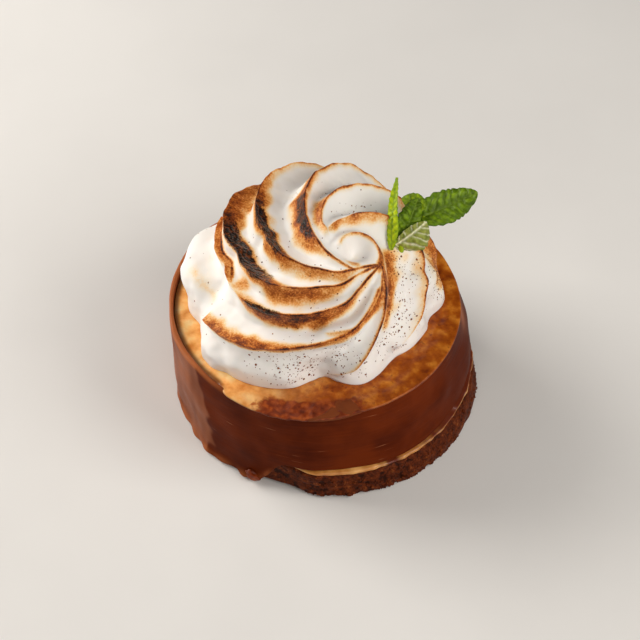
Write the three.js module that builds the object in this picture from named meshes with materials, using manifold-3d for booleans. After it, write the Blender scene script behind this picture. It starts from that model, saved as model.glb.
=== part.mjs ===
// A small round cake: a crumb base, a thin caramel layer, a tall soft body with a caramel top, a chocolate
// band wrapped round the side, a piped and torched meringue swirl, and a mint sprig.
// Millimetres, +Z up. The origin is the middle of the underside; -Y is the front.
import * as THREE from "three";
import { mergeVertices } from "three/addons/utils/BufferGeometryUtils.js";
import Module from "manifold-3d";

// Cake body
const CAKE_HEIGHT = 31; // floor to caramel top
const LEAN = -3.4; // how far the top sits to the left of the foot
const BAND_RADIUS_FOOT = 40.6;
const BAND_RADIUS_TOP = 39.2;
const BAND_THICKNESS = 1.6;
const GAP = 0.3; // clear space between touching pieces
const AROUND = 84; // facets round the cake

// Layers
const SEAM_HEIGHT = 10.6; // height of the caramel layer's underside on the axis
const SEAM_DROP = 2.3; // how much lower the layer lies at the front right edge
const SEAM_LOW_SIDE = 303; // degrees
const CARAMEL_THICKNESS = 1.1;
const BASE_BULGE = 2.6; // how far the base spreads past the hidden part of its side
const BASE_BELLY = 0.9; // extra spread halfway up the base
const BASE_TUCK = 1.2; // how far the base draws in at the floor
const CRUMB_DEPTH = 0.55;

// Where the band lifts off the base, in degrees round the cake
const LIFT_FROM = 241;
const LIFT_TO = 404;
const LIFT_RAMP = 16;
const BULGE_INSET = 12; // how much further in the base starts to spread
const BAND_CLIMB_AT = 362; // where the band's foot climbs highest, and by how much
const BAND_CLIMB = 4.5;
const BAND_PROUD_AT = 170; // where the band's upper edge stands proud of the top, and by how much
const BAND_PROUD = 1.8;
const BAND_DIP_AT = 262; // where the upper edge dips, and by how much
const BAND_DIP = 1.3;
const BAND_EDGE = 0.25; // how far the edges are rounded back
const SIDE_SWELL = 1.8; // how far the side swells out at the right
const SIDE_SWELL_AT = 6; // middle and half width of that swelling in degrees, then its height and half height
const SIDE_SWELL_WIDTH = 26;
const SIDE_SWELL_HEIGHT = 18;
const SIDE_SWELL_TALL = 8;

// Meringue dome and swirl
const DOME_X = -3.7;
const DOME_Y = 2.7;
const DOME_RADIUS = 32;
const DOME_HEIGHT = 28;
const DOME_SQUARENESS = 2.2;
const DOME_ARC = 46; // apex to foot along the surface
const PINCH_X = 15.3; // where the ridges meet, on the dome laid out flat
const PINCH_Y = -11.2;
const RIDGE_DEPTH = 5.5;
const RIDGE_SHARPNESS = 1.7;
const NEIGHBOUR_POWER = 8; // how far the nearest of the neighbouring ridges sets the spacing alone
const GROOVE_FULL = 10; // ridges this far apart have grooves of full depth
const LOBE_FROM = 13; // between these spacings the grooves fill up into broad lobes
const LOBE_TO = 26;
const LOBE_FILL = 3.5;
const FOOT_FADE = 9; // the crests sink over this much above the foot
const FOOT_CREST = 0.4; // share of a crest's height over its groove that is left at the foot
const RINGS = 44;
const SPOKES = 81;
const GRID_TWIST = 190; // degrees the mesh turns from pinch to foot
const GATHER_WIDTH = 5; // vertices nearer a crest than this are drawn in towards it
const GATHER_POWER = 2.5;

// Each ridge is a spiral about the pinch on the dome laid out flat: it starts at one reach and angle and
// ends at another; bend above 1 holds the reach back at first. Rise is the crest's height over the dome at
// its start and end.
const RIDGES = [
  { name: "curl", dx: -5, dy: 2.2, reach: [4.3, 4.8], angle: [165, -25], bend: 1, rise: [4.5, 4.5] },
  { name: "right", dx: 0, dy: 0, reach: [13.4, 23], angle: [150, -48], bend: 4.2, rise: [4.5, 1.5] },
  { name: "far right", dx: 0, dy: 0, reach: [13.7, 34], angle: [152, 15], bend: 0.7, rise: [4.8, 3] },
  { name: "back", dx: 0, dy: 0, reach: [6.5, 48], angle: [205, 72], bend: 1.35, rise: [4.5, 6.5] },
  { name: "back left", dx: 0, dy: 0, reach: [0, 51], angle: [206, 80], bend: 0.575, rise: [4.3, 6] },
  { name: "left", dx: 0, dy: 0, reach: [0, 56], angle: [217, 95], bend: 0.508, rise: [4, 1.5] },
  { name: "low left", dx: 0, dy: 0, reach: [0, 45], angle: [237, 150], bend: 0.5, rise: [4, 1.8] },
  { name: "minor", dx: 0, dy: 0, reach: [2, 20], angle: [285, 236], bend: 0.9, rise: [3.8, 3] },
  { name: "front", dx: 0, dy: 0, reach: [5.9, 46], angle: [266.5, 190], bend: 0.95, rise: [4.8, 4] },
  { name: "front right", dx: 0, dy: 0, reach: [0, 36], angle: [296, 252], bend: 1.1, rise: [4, 1] },
];
const RIDGE_STEPS = 36;

// Lobes of the foot: added radius, middle and half width in degrees about the dome's axis
const FOOT_LOBES = [
  { add: -2.4, at: 200, half: 8 },
  { add: 1.2, at: 236, half: 16 },
  { add: 1.6, at: 290, half: 9 },
  { add: 3.6, at: 358, half: 10 },
];

// Swellings and dents of the swirl on the dome laid out flat: middle, half sizes and height
const SWELLINGS = [
  { x: -36, y: 9, halfX: 12, halfY: 18, height: 3 },
  { x: -34, y: -29, halfX: 8, halfY: 9, height: 1.8 },
  { x: 5, y: -43, halfX: 5, halfY: 7, height: -1.2 },
  { x: 42, y: -11, halfX: 7, halfY: 6, height: -0.8 },
  { x: 27.5, y: -2.6, halfX: 7, halfY: 6.5, height: -2.4 },
];

// Mint sprig
const MINT_X = 19.6;
const MINT_Y = 0.3;
const MINT_Z = 52.6;
const LEAF_THICKNESS = 0.6;
const STEM_RADIUS = 1.1;
const STEM_DEPTH = 4;
const STALK_RADIUS = 0.7;
// Leaves as seen from the front, 48 degrees above: base and tip offsets (right, up, towards the eye) from
// the sprig's foot, the way the face points, width, the fold along the midrib in degrees, how far the blade
// bows out of line as a share of its length, swell, which below 1 moves the widest place to the base, taper,
// which below 1 makes the ends blunter, and share, which narrows the left half.
const LEAVES = [
  { base: [-2.4, -0.4, 1.8], tip: [-1.15, 18.6, 2.6], face: [-0.6, 0.1, 0.79],
    width: 3.8, fold: 14, bow: 0.02, swell: 0.7, taper: 0.85, share: 1 },
  { base: [4.2, 7.7, 0.2], tip: [20.2, 14.8, -1], face: [-0.1, 0.35, 0.93],
    width: 9.8, fold: 14, bow: -0.04, swell: 0.85, taper: 0.55, share: 1 },
  { base: [-1.5, 0.9, 1.8], tip: [6.6, 7, 3.4], face: [0.15, -0.35, 0.93],
    width: 12.6, fold: -12, bow: 0.06, swell: 0.95, taper: 0.6, share: 0.3 },
  { base: [-0.7, 0.6, 0.7], tip: [4.6, 13.4, 1.4], face: [0.3, -0.1, 0.93],
    width: 7.4, fold: 8, bow: 0.04, swell: 0.8, taper: 0.7, share: 1 },
  { base: [6.6, 11, 0.2], tip: [0.2, 13.2, 0.9], face: [-0.1, 0.2, 0.97],
    width: 5.2, fold: 10, bow: 0.04, swell: 0.8, taper: 0.6, share: 1 },
];
const LEAF_TOOTH = 0.07; // share of the half width
const LEAF_WAVE = 0.25;
const LEAF_TIP = 0.35; // smallest half width
const LEAF_STEPS = 11;
const LEAF_COLUMNS = 6;
const VIEW_ELEVATION = 48;

const rad = (deg) => (deg * Math.PI) / 180;
const mix = (a, b, t) => a + (b - a) * t;
function smooth(a, b, x) {
  const t = Math.min(Math.max((x - a) / (b - a), 0), 1);
  return t * t * (3 - 2 * t);
}

// Angle difference in degrees, from -180 to 180.
function turn(a, b) {
  return ((((a - b + 180) % 360) + 360) % 360) - 180;
}

// Fixed ripple made of a few waves, roughly -1 to 1, for crumb and uneven edges.
function ripple(deg, z) {
  const a = rad(deg);
  return (
    0.5 * Math.sin(11 * a + 0.9 * z) +
    0.3 * Math.sin(23 * a - 1.7 * z + 1) +
    0.2 * Math.sin(41 * a + 2.3 * z + 2)
  );
}

const wasm = await Module();
wasm.setup();

function solidFrom(geometry) {
  const bare = geometry.clone();
  bare.deleteAttribute("normal");
  bare.deleteAttribute("uv");
  const merged = mergeVertices(bare, 1e-4);
  return new wasm.Manifold(
    new wasm.Mesh({
      numProp: 3,
      vertProperties: new Float32Array(merged.attributes.position.array),
      triVerts: new Uint32Array(merged.index.array),
    }),
  );
}

function geometryFrom(solid) {
  const mesh = solid.getMesh();
  const count = mesh.numVert;
  const positions = new Float32Array(count * 3);
  for (let i = 0; i < count; i++)
    positions.set(mesh.vertProperties.subarray(i * mesh.numProp, i * mesh.numProp + 3), i * 3);
  const geometry = new THREE.BufferGeometry();
  geometry.setAttribute("position", new THREE.BufferAttribute(positions, 3));
  geometry.setIndex(new THREE.BufferAttribute(new Uint32Array(mesh.triVerts), 1));
  geometry.computeVertexNormals();
  return geometry;
}

// Geometry from vertices and triangles, both plain arrays.
function geometryOf(points, triangles) {
  const geometry = new THREE.BufferGeometry();
  geometry.setAttribute("position", new THREE.Float32BufferAttribute(points.flat(), 3));
  geometry.setIndex(triangles.flat());
  geometry.computeVertexNormals();
  return geometry;
}

// Joins closed loops of points, one above the other, into a skin; a loop of one point closes an end.
function skin(loops) {
  const points = [];
  const starts = [];
  for (const loop of loops) {
    starts.push(points.length);
    points.push(...loop);
  }
  const triangles = [];
  for (let k = 0; k + 1 < loops.length; k++) {
    const low = loops[k].length;
    const high = loops[k + 1].length;
    const count = Math.max(low, high);
    for (let i = 0; i < count; i++) {
      const j = (i + 1) % count;
      const a = starts[k] + (low === 1 ? 0 : i);
      const b = starts[k] + (low === 1 ? 0 : j);
      const c = starts[k + 1] + (high === 1 ? 0 : i);
      const d = starts[k + 1] + (high === 1 ? 0 : j);
      if (low !== 1) triangles.push([a, b, d]);
      if (high !== 1) triangles.push([a, d, c]);
    }
  }
  return geometryOf(points, triangles);
}

// Cake body sections
const axisX = (z) => (LEAN * z) / CAKE_HEIGHT;
const bandRadius = (z) => mix(BAND_RADIUS_FOOT, BAND_RADIUS_TOP, z / CAKE_HEIGHT);
const insideRadius = (z) => bandRadius(z) - BAND_THICKNESS - GAP;

function ringPoint(deg, radius, z) {
  const around = turn(deg, SIDE_SWELL_AT) / SIDE_SWELL_WIDTH;
  const up = (z - SIDE_SWELL_HEIGHT) / SIDE_SWELL_TALL;
  const r = radius + SIDE_SWELL * Math.exp(-around * around - up * up);
  return [axisX(z) + r * Math.cos(rad(deg)), r * Math.sin(rad(deg)), z];
}

// One loop round the cake: height is a function of the angle, and radius of the angle and that height.
function ring(radius, height) {
  const loop = [];
  for (let i = 0; i < AROUND; i++) {
    const deg = (360 * i) / AROUND;
    const z = height(deg);
    loop.push(ringPoint(deg, radius(deg, z), z));
  }
  return loop;
}

// Height of the tilted caramel layer's underside.
function seam(deg) {
  return SEAM_HEIGHT - SEAM_DROP * Math.cos(rad(turn(deg, SEAM_LOW_SIDE)));
}

// 1 where the band is lifted clear of the base, 0 where it reaches the floor. Inset narrows the range.
function lifted(deg, inset) {
  const middle = (LIFT_FROM + LIFT_TO) / 2;
  const half = (LIFT_TO - LIFT_FROM) / 2 - inset;
  return 1 - smooth(half - LIFT_RAMP, half, Math.abs(turn(deg, middle)));
}

const sideRadius = (deg, z) => insideRadius(z) + BASE_BULGE * lifted(deg, BULGE_INSET);

function makeBase() {
  const levels = [0, 0.14, 0.4, 0.7, 0.93];
  const loops = [[[0, 0, 0]]];
  for (const level of levels) {
    const tuck = level === 0 ? BASE_TUCK : 0;
    loops.push(
      ring(
        (deg, z) =>
          sideRadius(deg, z) -
          tuck +
          CRUMB_DEPTH * ripple(deg, 14 * level) * lifted(deg, LIFT_RAMP) +
          BASE_BELLY * lifted(deg, LIFT_RAMP + 20) * Math.sin(Math.PI * level),
        (deg) => level * (seam(deg) - GAP),
      ),
    );
  }
  loops.push(ring((deg, z) => sideRadius(deg, z) - 0.6, (deg) => seam(deg) - GAP));
  loops.push([[axisX(SEAM_HEIGHT), 0, SEAM_HEIGHT - GAP]]);
  return skin(loops);
}

function makeCaramelLayer() {
  const loops = [[[axisX(SEAM_HEIGHT), 0, SEAM_HEIGHT]]];
  for (const share of [0.15, 0.5, 0.85])
    loops.push(
      ring(
        (deg, z) => sideRadius(deg, z) + (share === 0.5 ? 0.4 : 0) * lifted(deg, BULGE_INSET),
        (deg) => seam(deg) + CARAMEL_THICKNESS * share,
      ),
    );
  loops.push([[axisX(SEAM_HEIGHT), 0, SEAM_HEIGHT + CARAMEL_THICKNESS]]);
  return skin(loops);
}

function makeBody() {
  const lift = CARAMEL_THICKNESS + GAP;
  const loops = [[[axisX(SEAM_HEIGHT), 0, SEAM_HEIGHT + lift]]];
  loops.push(ring((deg, z) => insideRadius(z), (deg) => seam(deg) + lift));
  for (const share of [0.5, 0.95])
    loops.push(
      ring(
        (deg, z) => insideRadius(z),
        (deg) => mix(seam(deg) + lift, CAKE_HEIGHT, share),
      ),
    );
  loops.push(
    ring((deg, z) => insideRadius(z) - 1.2, (deg) => CAKE_HEIGHT + 0.12 * ripple(deg, 3) - 0.15),
  );
  loops.push([[axisX(CAKE_HEIGHT), 0, CAKE_HEIGHT]]);
  return skin(loops);
}

// Lower edge of the band: at the floor at the back and left, above the caramel layer where it is lifted.
function bandFoot(deg) {
  const clear = seam(deg) + CARAMEL_THICKNESS + GAP;
  const climb = BAND_CLIMB * Math.exp(-((turn(deg, BAND_CLIMB_AT) / 13) ** 2));
  return mix(GAP, clear, lifted(deg, 0)) + climb * lifted(deg, 0);
}

// Upper edge of the band: proud of the caramel at the back and left, flush or dipped at the front.
function bandTop(deg) {
  const proud = 1 - smooth(40, 75, Math.abs(turn(deg, BAND_PROUD_AT)));
  const dip = Math.exp(-((turn(deg, BAND_DIP_AT) / 20) ** 2));
  return CAKE_HEIGHT + 0.1 + BAND_PROUD * proud - BAND_DIP * dip + 0.15 * ripple(deg, 1);
}

function makeBand() {
  const shares = [0, 0.5, 1];
  const outer = shares.map((share) =>
    ring(
      (deg, z) => bandRadius(z) - (share % 1 === 0 ? BAND_EDGE : 0),
      (deg) => mix(bandFoot(deg), bandTop(deg), share),
    ),
  );
  const inner = shares.map((share) =>
    ring(
      (deg, z) => bandRadius(z) - BAND_THICKNESS,
      (deg) => mix(bandFoot(deg), bandTop(deg), share),
    ),
  );
  return skin([...outer, ...inner.reverse(), outer[0]]);
}

// Meringue
const footRadius = (deg) =>
  FOOT_LOBES.reduce(
    (sum, lobe) => sum + lobe.add * Math.exp(-((turn(deg, lobe.at) / lobe.half) ** 2)),
    DOME_RADIUS,
  );

// Points along each ridge on the dome laid out flat, with the crest's rise at each.
const ridgeLines = RIDGES.map((ridge) => {
  const line = [];
  for (let i = 0; i <= RIDGE_STEPS; i++) {
    const t = i / RIDGE_STEPS;
    const reach = mix(ridge.reach[0], ridge.reach[1], t ** ridge.bend);
    const a = rad(mix(ridge.angle[0], ridge.angle[1], t));
    line.push({
      x: PINCH_X + ridge.dx + reach * Math.cos(a),
      y: PINCH_Y + ridge.dy + reach * Math.sin(a),
      rise: mix(ridge.rise[0], ridge.rise[1], smooth(0.35, 1, t)),
    });
  }
  return line;
});

// Distance from a flat point to a ridge, the nearest place on the ridge, and the crest's rise there.
function nearest(line, x, y) {
  let best = { distance: Infinity };
  for (let i = 0; i + 1 < line.length; i++) {
    const p = line[i];
    const q = line[i + 1];
    const dx = q.x - p.x;
    const dy = q.y - p.y;
    const along = ((x - p.x) * dx + (y - p.y) * dy) / (dx * dx + dy * dy);
    const t = Math.min(Math.max(along, 0), 1);
    const crestX = p.x + t * dx;
    const crestY = p.y + t * dy;
    const distance = Math.hypot(x - crestX, y - crestY);
    if (distance < best.distance) best = { distance, crestX, crestY, rise: mix(p.rise, q.rise, t) };
  }
  return best;
}

// Height of the swirl over the plain dome: crests stand at their rise, with grooves between them.
function relief(x, y) {
  const near = ridgeLines.map((line) => nearest(line, x, y));
  let weight = 0;
  let level = 0;
  for (const n of near) {
    const w = 1 / (n.distance + 0.6) ** 3;
    weight += w;
    level += w * n.rise;
  }
  const [first, ...others] = near.map((n) => n.distance).sort((a, b) => a - b);
  const second = others.reduce((sum, d) => sum + d ** -NEIGHBOUR_POWER, 0) ** (-1 / NEIGHBOUR_POWER);
  const spacing = Math.max(first + second, 1e-6);
  const groove = RIDGE_DEPTH * smooth(0, GROOVE_FULL, spacing);
  const depth = groove - LOBE_FILL * smooth(LOBE_FROM, LOBE_TO, spacing);
  const fade = mix(FOOT_CREST, 1, smooth(0, FOOT_FADE, DOME_ARC - Math.hypot(x, y)));
  const fall = 1 - fade * Math.max(1 - (2 * first) / spacing, 0) ** RIDGE_SHARPNESS;
  const swell = SWELLINGS.reduce(
    (sum, s) => sum + s.height * (1 - smooth(0.3, 1, Math.hypot((x - s.x) / s.halfX, (y - s.y) / s.halfY))),
    0,
  );
  return level / weight - depth * fall + swell;
}

// Draws a flat point in towards the nearest crest, so that the mesh has edges along the crests.
function gather(x, y) {
  const near = ridgeLines.map((line) => nearest(line, x, y)).sort((a, b) => a.distance - b.distance);
  const [first, second] = near;
  const width = Math.min(GATHER_WIDTH, 0.48 * (first.distance + second.distance));
  if (first.distance >= width || width < 0.5) return [x, y];
  const share = (first.distance / width) ** (GATHER_POWER - 1);
  return [mix(first.crestX, x, share), mix(first.crestY, y, share)];
}

const MERINGUE_FOOT = CAKE_HEIGHT + GAP + 0.05;

// A point of the swirl from its place on the dome laid out flat.
function swirlPoint(x, y) {
  const flat = Math.hypot(x, y);
  const a = Math.atan2(y, x);
  const lambda = Math.min(flat / DOME_ARC, 1) * (Math.PI / 2);
  const s = Math.sin(lambda);
  const c = Math.max(Math.cos(lambda), 0);
  const n = DOME_SQUARENESS;
  const k = (s ** n + c ** n) ** (-1 / n);
  const radius = mix(DOME_RADIUS, footRadius((a * 180) / Math.PI), smooth(0, 0.35, s));
  const outward = (k * s) ** (n - 1) / radius;
  const upward = (k * c) ** (n - 1) / DOME_HEIGHT;
  const size = Math.hypot(outward, upward);
  const h = relief(x, y);
  const r = k * s * radius + (h * outward) / size;
  return [
    DOME_X + r * Math.cos(a),
    DOME_Y + r * Math.sin(a),
    MERINGUE_FOOT + k * c * DOME_HEIGHT + (h * upward) / size,
  ];
}

function makeMeringue() {
  const loops = [[[DOME_X, DOME_Y, MERINGUE_FOOT]]];
  for (let ringIndex = RINGS; ringIndex > 0; ringIndex--) {
    const u = (ringIndex / RINGS) ** 0.9;
    const loop = [];
    for (let i = 0; i < SPOKES; i++) {
      const b = rad((360 * i) / SPOKES - GRID_TWIST * u);
      const [x, y] = gather(
        PINCH_X * (1 - u) + DOME_ARC * u * Math.cos(b),
        PINCH_Y * (1 - u) + DOME_ARC * u * Math.sin(b),
      );
      const stretch = ringIndex === RINGS ? DOME_ARC / Math.hypot(x, y) : 1;
      loop.push(swirlPoint(x * stretch, y * stretch));
    }
    loops.push(loop);
  }
  loops.push([swirlPoint(PINCH_X, PINCH_Y)]);
  return skin(loops);
}

// Mint
const eyeRight = new THREE.Vector3(1, 0, 0);
const eyeUp = new THREE.Vector3(0, Math.sin(rad(VIEW_ELEVATION)), Math.cos(rad(VIEW_ELEVATION)));
const eyeward = new THREE.Vector3(0, -Math.cos(rad(VIEW_ELEVATION)), Math.sin(rad(VIEW_ELEVATION)));

function fromEye([right, up, near]) {
  return new THREE.Vector3()
    .addScaledVector(eyeRight, right)
    .addScaledVector(eyeUp, up)
    .addScaledVector(eyeward, near);
}

// A thin wavy leaf: an upper and a lower face split alike, closed round the edge. Grow makes it larger.
function makeLeaf(leaf, grow) {
  const base = fromEye(leaf.base).add(new THREE.Vector3(MINT_X, MINT_Y, MINT_Z));
  const along = fromEye(leaf.tip).sub(fromEye(leaf.base));
  const length = along.length() + 2 * grow;
  along.normalize();
  base.addScaledVector(along, -grow);
  const across = new THREE.Vector3().crossVectors(fromEye(leaf.face), along).normalize();
  const face = new THREE.Vector3().crossVectors(along, across).normalize();
  const rows = [1, -1].map((facing) => {
    const points = [];
    for (let i = 0; i <= LEAF_STEPS; i++) {
      const t = i / LEAF_STEPS;
      const tooth = 1 + (t > 0.15 && t < 0.95 ? LEAF_TOOTH * (1 - 2 * (i % 2)) : 0);
      const oval = Math.sin(Math.PI * Math.min(t ** leaf.swell, 1)) ** leaf.taper;
      const half = Math.max((leaf.width / 2) * oval * tooth, LEAF_TIP) + 1.5 * grow;
      for (let j = 0; j <= LEAF_COLUMNS; j++) {
        const side = (2 * j) / LEAF_COLUMNS - 1;
        const s = side > 0 ? side * leaf.share : side;
        const lift = Math.abs(s) * half * Math.sin(rad(leaf.fold));
        const bow = leaf.bow * length * Math.sin(Math.PI * t);
        const wave = LEAF_WAVE * Math.sin(9 * t + 2.5 * s) * Math.abs(s);
        const p = base
          .clone()
          .addScaledVector(along, length * t)
          .addScaledVector(across, s * half * Math.cos(rad(leaf.fold)))
          .addScaledVector(face, lift + bow + wave + facing * (LEAF_THICKNESS / 2 + 1.3 * grow));
        points.push(p.toArray());
      }
    }
    return points;
  });
  const upper = rows[0];
  const count = upper.length;
  const points = [...upper, ...rows[1]];
  const triangles = [];
  const at = (i, j) => i * (LEAF_COLUMNS + 1) + j;
  for (let i = 0; i < LEAF_STEPS; i++)
    for (let j = 0; j < LEAF_COLUMNS; j++) {
      const quad = [at(i, j), at(i, j + 1), at(i + 1, j + 1), at(i + 1, j)];
      triangles.push([quad[0], quad[2], quad[1]], [quad[0], quad[3], quad[2]]);
      const under = quad.map((v) => v + count);
      triangles.push([under[0], under[1], under[2]], [under[0], under[2], under[3]]);
    }
  const edge = [];
  for (let j = 0; j < LEAF_COLUMNS; j++) edge.push(at(0, j));
  for (let i = 0; i < LEAF_STEPS; i++) edge.push(at(i, LEAF_COLUMNS));
  for (let j = LEAF_COLUMNS; j > 0; j--) edge.push(at(LEAF_STEPS, j));
  for (let i = LEAF_STEPS; i > 0; i--) edge.push(at(i, 0));
  edge.forEach((a, k) => {
    const b = edge[(k + 1) % edge.length];
    triangles.push([a, b, b + count], [a, b + count, a + count]);
  });
  return geometryOf(points, triangles);
}

function makeStem(radius, depth, rise) {
  const stem = new THREE.CylinderGeometry(radius, radius, depth + rise, 12);
  stem.rotateX(Math.PI / 2);
  stem.translate(MINT_X, MINT_Y, MINT_Z + (rise - depth) / 2);
  return stem;
}

// The stalk from the sprig's foot to just inside a leaf.
function makeStalk(leaf, grow) {
  const base = fromEye(leaf.base);
  const inside = base.clone().lerp(fromEye(leaf.tip), 0.12);
  const radius = STALK_RADIUS + grow;
  const stalk = new THREE.CylinderGeometry(radius, radius, inside.length(), 8);
  stalk.translate(0, inside.length() / 2, 0);
  const upright = new THREE.Vector3(0, 1, 0);
  stalk.applyQuaternion(new THREE.Quaternion().setFromUnitVectors(upright, inside.clone().normalize()));
  stalk.translate(MINT_X, MINT_Y, MINT_Z);
  return stalk;
}

// The sprig, or the pocket it stands in when grown.
function makeSprig(grow, rise) {
  const stem = solidFrom(makeStem(STEM_RADIUS + grow, STEM_DEPTH + grow, rise));
  return LEAVES.reduce(
    (sum, leaf) => sum.add(solidFrom(makeStalk(leaf, grow))).add(solidFrom(makeLeaf(leaf, grow))),
    stem,
  );
}

const sprigSolid = makeSprig(0, 2);
// The pocket can cut off a scrap of a ridge, so only the largest piece is kept.
const meringueSolid = solidFrom(makeMeringue())
  .subtract(makeSprig(GAP, 12))
  .decompose()
  .reduce((large, piece) => (piece.volume() > large.volume() ? piece : large));

const cake = new THREE.Group();
function place(name, geometry, color, roughness) {
  const mesh = new THREE.Mesh(geometry, new THREE.MeshStandardMaterial({ color, roughness, metalness: 0 }));
  mesh.name = name;
  cake.add(mesh);
}

place("base_sponge", makeBase(), 0x5a2c14, 0.9);
place("caramel_layer", makeCaramelLayer(), 0xc48a4a, 0.45);
place("cake_body", makeBody(), 0xb8691f, 0.4);
place("chocolate_band", makeBand(), 0x431a0c, 0.35);
place("meringue", geometryFrom(meringueSolid), 0xf2ede6, 0.7);
place("mint_sprig", geometryFrom(sprigSolid), 0x3f8f1f, 0.55);

export default cake;
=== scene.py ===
# %% [markdown]
# # A small layer cake with a torched meringue swirl
# The cake stands on a crumb base. A chocolate band wraps the side, caramel covers the top, and a piped
# meringue swirl, torched along its ridges, carries a sprig of mint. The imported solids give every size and
# place; this lesson makes each piece again as a fine mesh with its finish.

# %% Load the frame
import itertools
import math

import bpy
import numpy as np
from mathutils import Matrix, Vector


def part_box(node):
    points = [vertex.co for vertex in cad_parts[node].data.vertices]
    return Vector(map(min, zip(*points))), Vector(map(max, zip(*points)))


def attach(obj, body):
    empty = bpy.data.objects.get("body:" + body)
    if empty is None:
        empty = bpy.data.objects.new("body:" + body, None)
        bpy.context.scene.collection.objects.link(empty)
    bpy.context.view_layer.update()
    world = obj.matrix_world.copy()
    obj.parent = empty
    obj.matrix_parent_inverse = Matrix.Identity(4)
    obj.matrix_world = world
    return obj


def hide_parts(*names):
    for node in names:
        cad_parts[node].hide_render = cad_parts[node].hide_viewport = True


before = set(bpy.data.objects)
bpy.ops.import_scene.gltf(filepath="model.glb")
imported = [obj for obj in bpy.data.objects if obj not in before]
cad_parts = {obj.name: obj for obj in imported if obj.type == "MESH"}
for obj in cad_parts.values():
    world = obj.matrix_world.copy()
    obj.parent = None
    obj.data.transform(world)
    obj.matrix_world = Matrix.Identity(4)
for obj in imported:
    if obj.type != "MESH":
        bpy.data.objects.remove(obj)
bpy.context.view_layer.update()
MM = 0.001
print("nodes:", sorted(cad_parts))

# %% [markdown]
# ## Camera
# The cake is seen from the front and well above, with a long lens, so that the ridges of the swirl fan out in
# full view. The lens follows from how many pixels a millimetre takes at the middle of the cake.

# %% Place the camera
VIEW_ELEVATION = 48
VIEW_TARGET = (-1.6, 0, 25)
VIEW_DISTANCE = 700
FRAME_PIXELS = 640
PIXELS_PER_MM = 3.7
SENSOR_MM = 36
VIEW_END_M = 10


def add_object(name, data):
    """A new object, put in the scene."""
    made = bpy.data.objects.new(name, data)
    bpy.context.scene.collection.objects.link(made)
    return made


camera_data = bpy.data.cameras.new("camera")
camera_data.sensor_width = SENSOR_MM
camera_data.lens = SENSOR_MM * PIXELS_PER_MM * VIEW_DISTANCE / FRAME_PIXELS
camera_data.clip_end = VIEW_END_M
camera = add_object("camera", camera_data)
tilt = math.radians(VIEW_ELEVATION)
camera.location = (
    VIEW_TARGET[0] * MM,
    (VIEW_TARGET[1] - VIEW_DISTANCE * math.cos(tilt)) * MM,
    (VIEW_TARGET[2] + VIEW_DISTANCE * math.sin(tilt)) * MM,
)
camera.rotation_euler = (math.pi / 2 - tilt, 0, 0)
bpy.context.scene.camera = camera
print("lens", round(camera_data.lens, 1), "mm")

# %% [markdown]
# ## Light
# Soft studio light: a broad key from low on the left and a little behind whitens the sides of the ridges that
# look that way, a fill from the right and a weaker one from the front model the rest, and a dim grey world
# softens the deepest folds.

# %% Set up the studio
WARM_LIGHT = (1, 0.95, 0.88)
LIGHT_SIZE = 420
LIGHT_TARGET = (0, 0, 35)
WORLD_STRENGTH = 0.05


def soft_light(name, place, power):
    """A square area light, placed in millimetres and aimed at the middle of the cake."""
    data = bpy.data.lights.new(name, "AREA")
    data.size = LIGHT_SIZE * MM
    data.energy = power
    data.color = WARM_LIGHT
    light = add_object(name, data)
    light.location = [c * MM for c in place]
    aim = [t - c for t, c in zip(LIGHT_TARGET, place)]
    yaw = math.atan2(-aim[0], aim[1])
    pitch = math.atan2(aim[2], math.hypot(aim[0], aim[1]))
    light.rotation_euler = (math.pi / 2 + pitch, 0, yaw)


soft_light("key", (-480, 220, 300), 4.0)
soft_light("fill", (460, -220, 420), 2.6)
soft_light("front", (0, -520, 420), 1.0)

world = bpy.data.worlds.new("studio")
world.use_nodes = True
background = world.node_tree.nodes["Background"]
background.inputs["Color"].default_value = (1, 1, 1, 1)
background.inputs["Strength"].default_value = WORLD_STRENGTH
bpy.context.scene.world = world
bpy.context.scene.view_settings.view_transform = "Standard"

# %% [markdown]
# ## A small language for finishes
# Every finish is a Principled shader fed by a few nodes. Wrapping a socket in a class lets a mask be written
# as a plain sum, such as 1 - heat * grain, and one method adds any other node.

# %% Shader sockets as Python values
class Socket:
    """An output socket. Python's operators on it add Math nodes."""

    def __init__(self, finish, socket):
        self.finish = finish
        self.socket = socket

    def maths(self, operation, first, second):
        return self.finish.node("ShaderNodeMath", {"operation": operation}, {0: first, 1: second})

    def __add__(self, other):
        return self.maths("ADD", self, other)

    __radd__ = __add__

    def __sub__(self, other):
        return self.maths("SUBTRACT", self, other)

    def __rsub__(self, other):
        return self.maths("SUBTRACT", other, self)

    def __mul__(self, other):
        return self.maths("MULTIPLY", self, other)

    __rmul__ = __mul__

    def over(self, low, high):
        """0 below low, 1 above high, smooth between."""
        limits = {"Value": self, "From Min": low, "From Max": high}
        return self.finish.node("ShaderNodeMapRange", {"interpolation_type": "SMOOTHSTEP"}, limits)


# %% Finishes as Python objects
def srgb(red, green, blue):
    """A colour given as it shows on a screen, 0 to 255."""
    def linear(c):
        c = c / 255
        return c / 12.92 if c <= 0.04045 else ((c + 0.055) / 1.055) ** 2.4

    return (linear(red), linear(green), linear(blue), 1)


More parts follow.
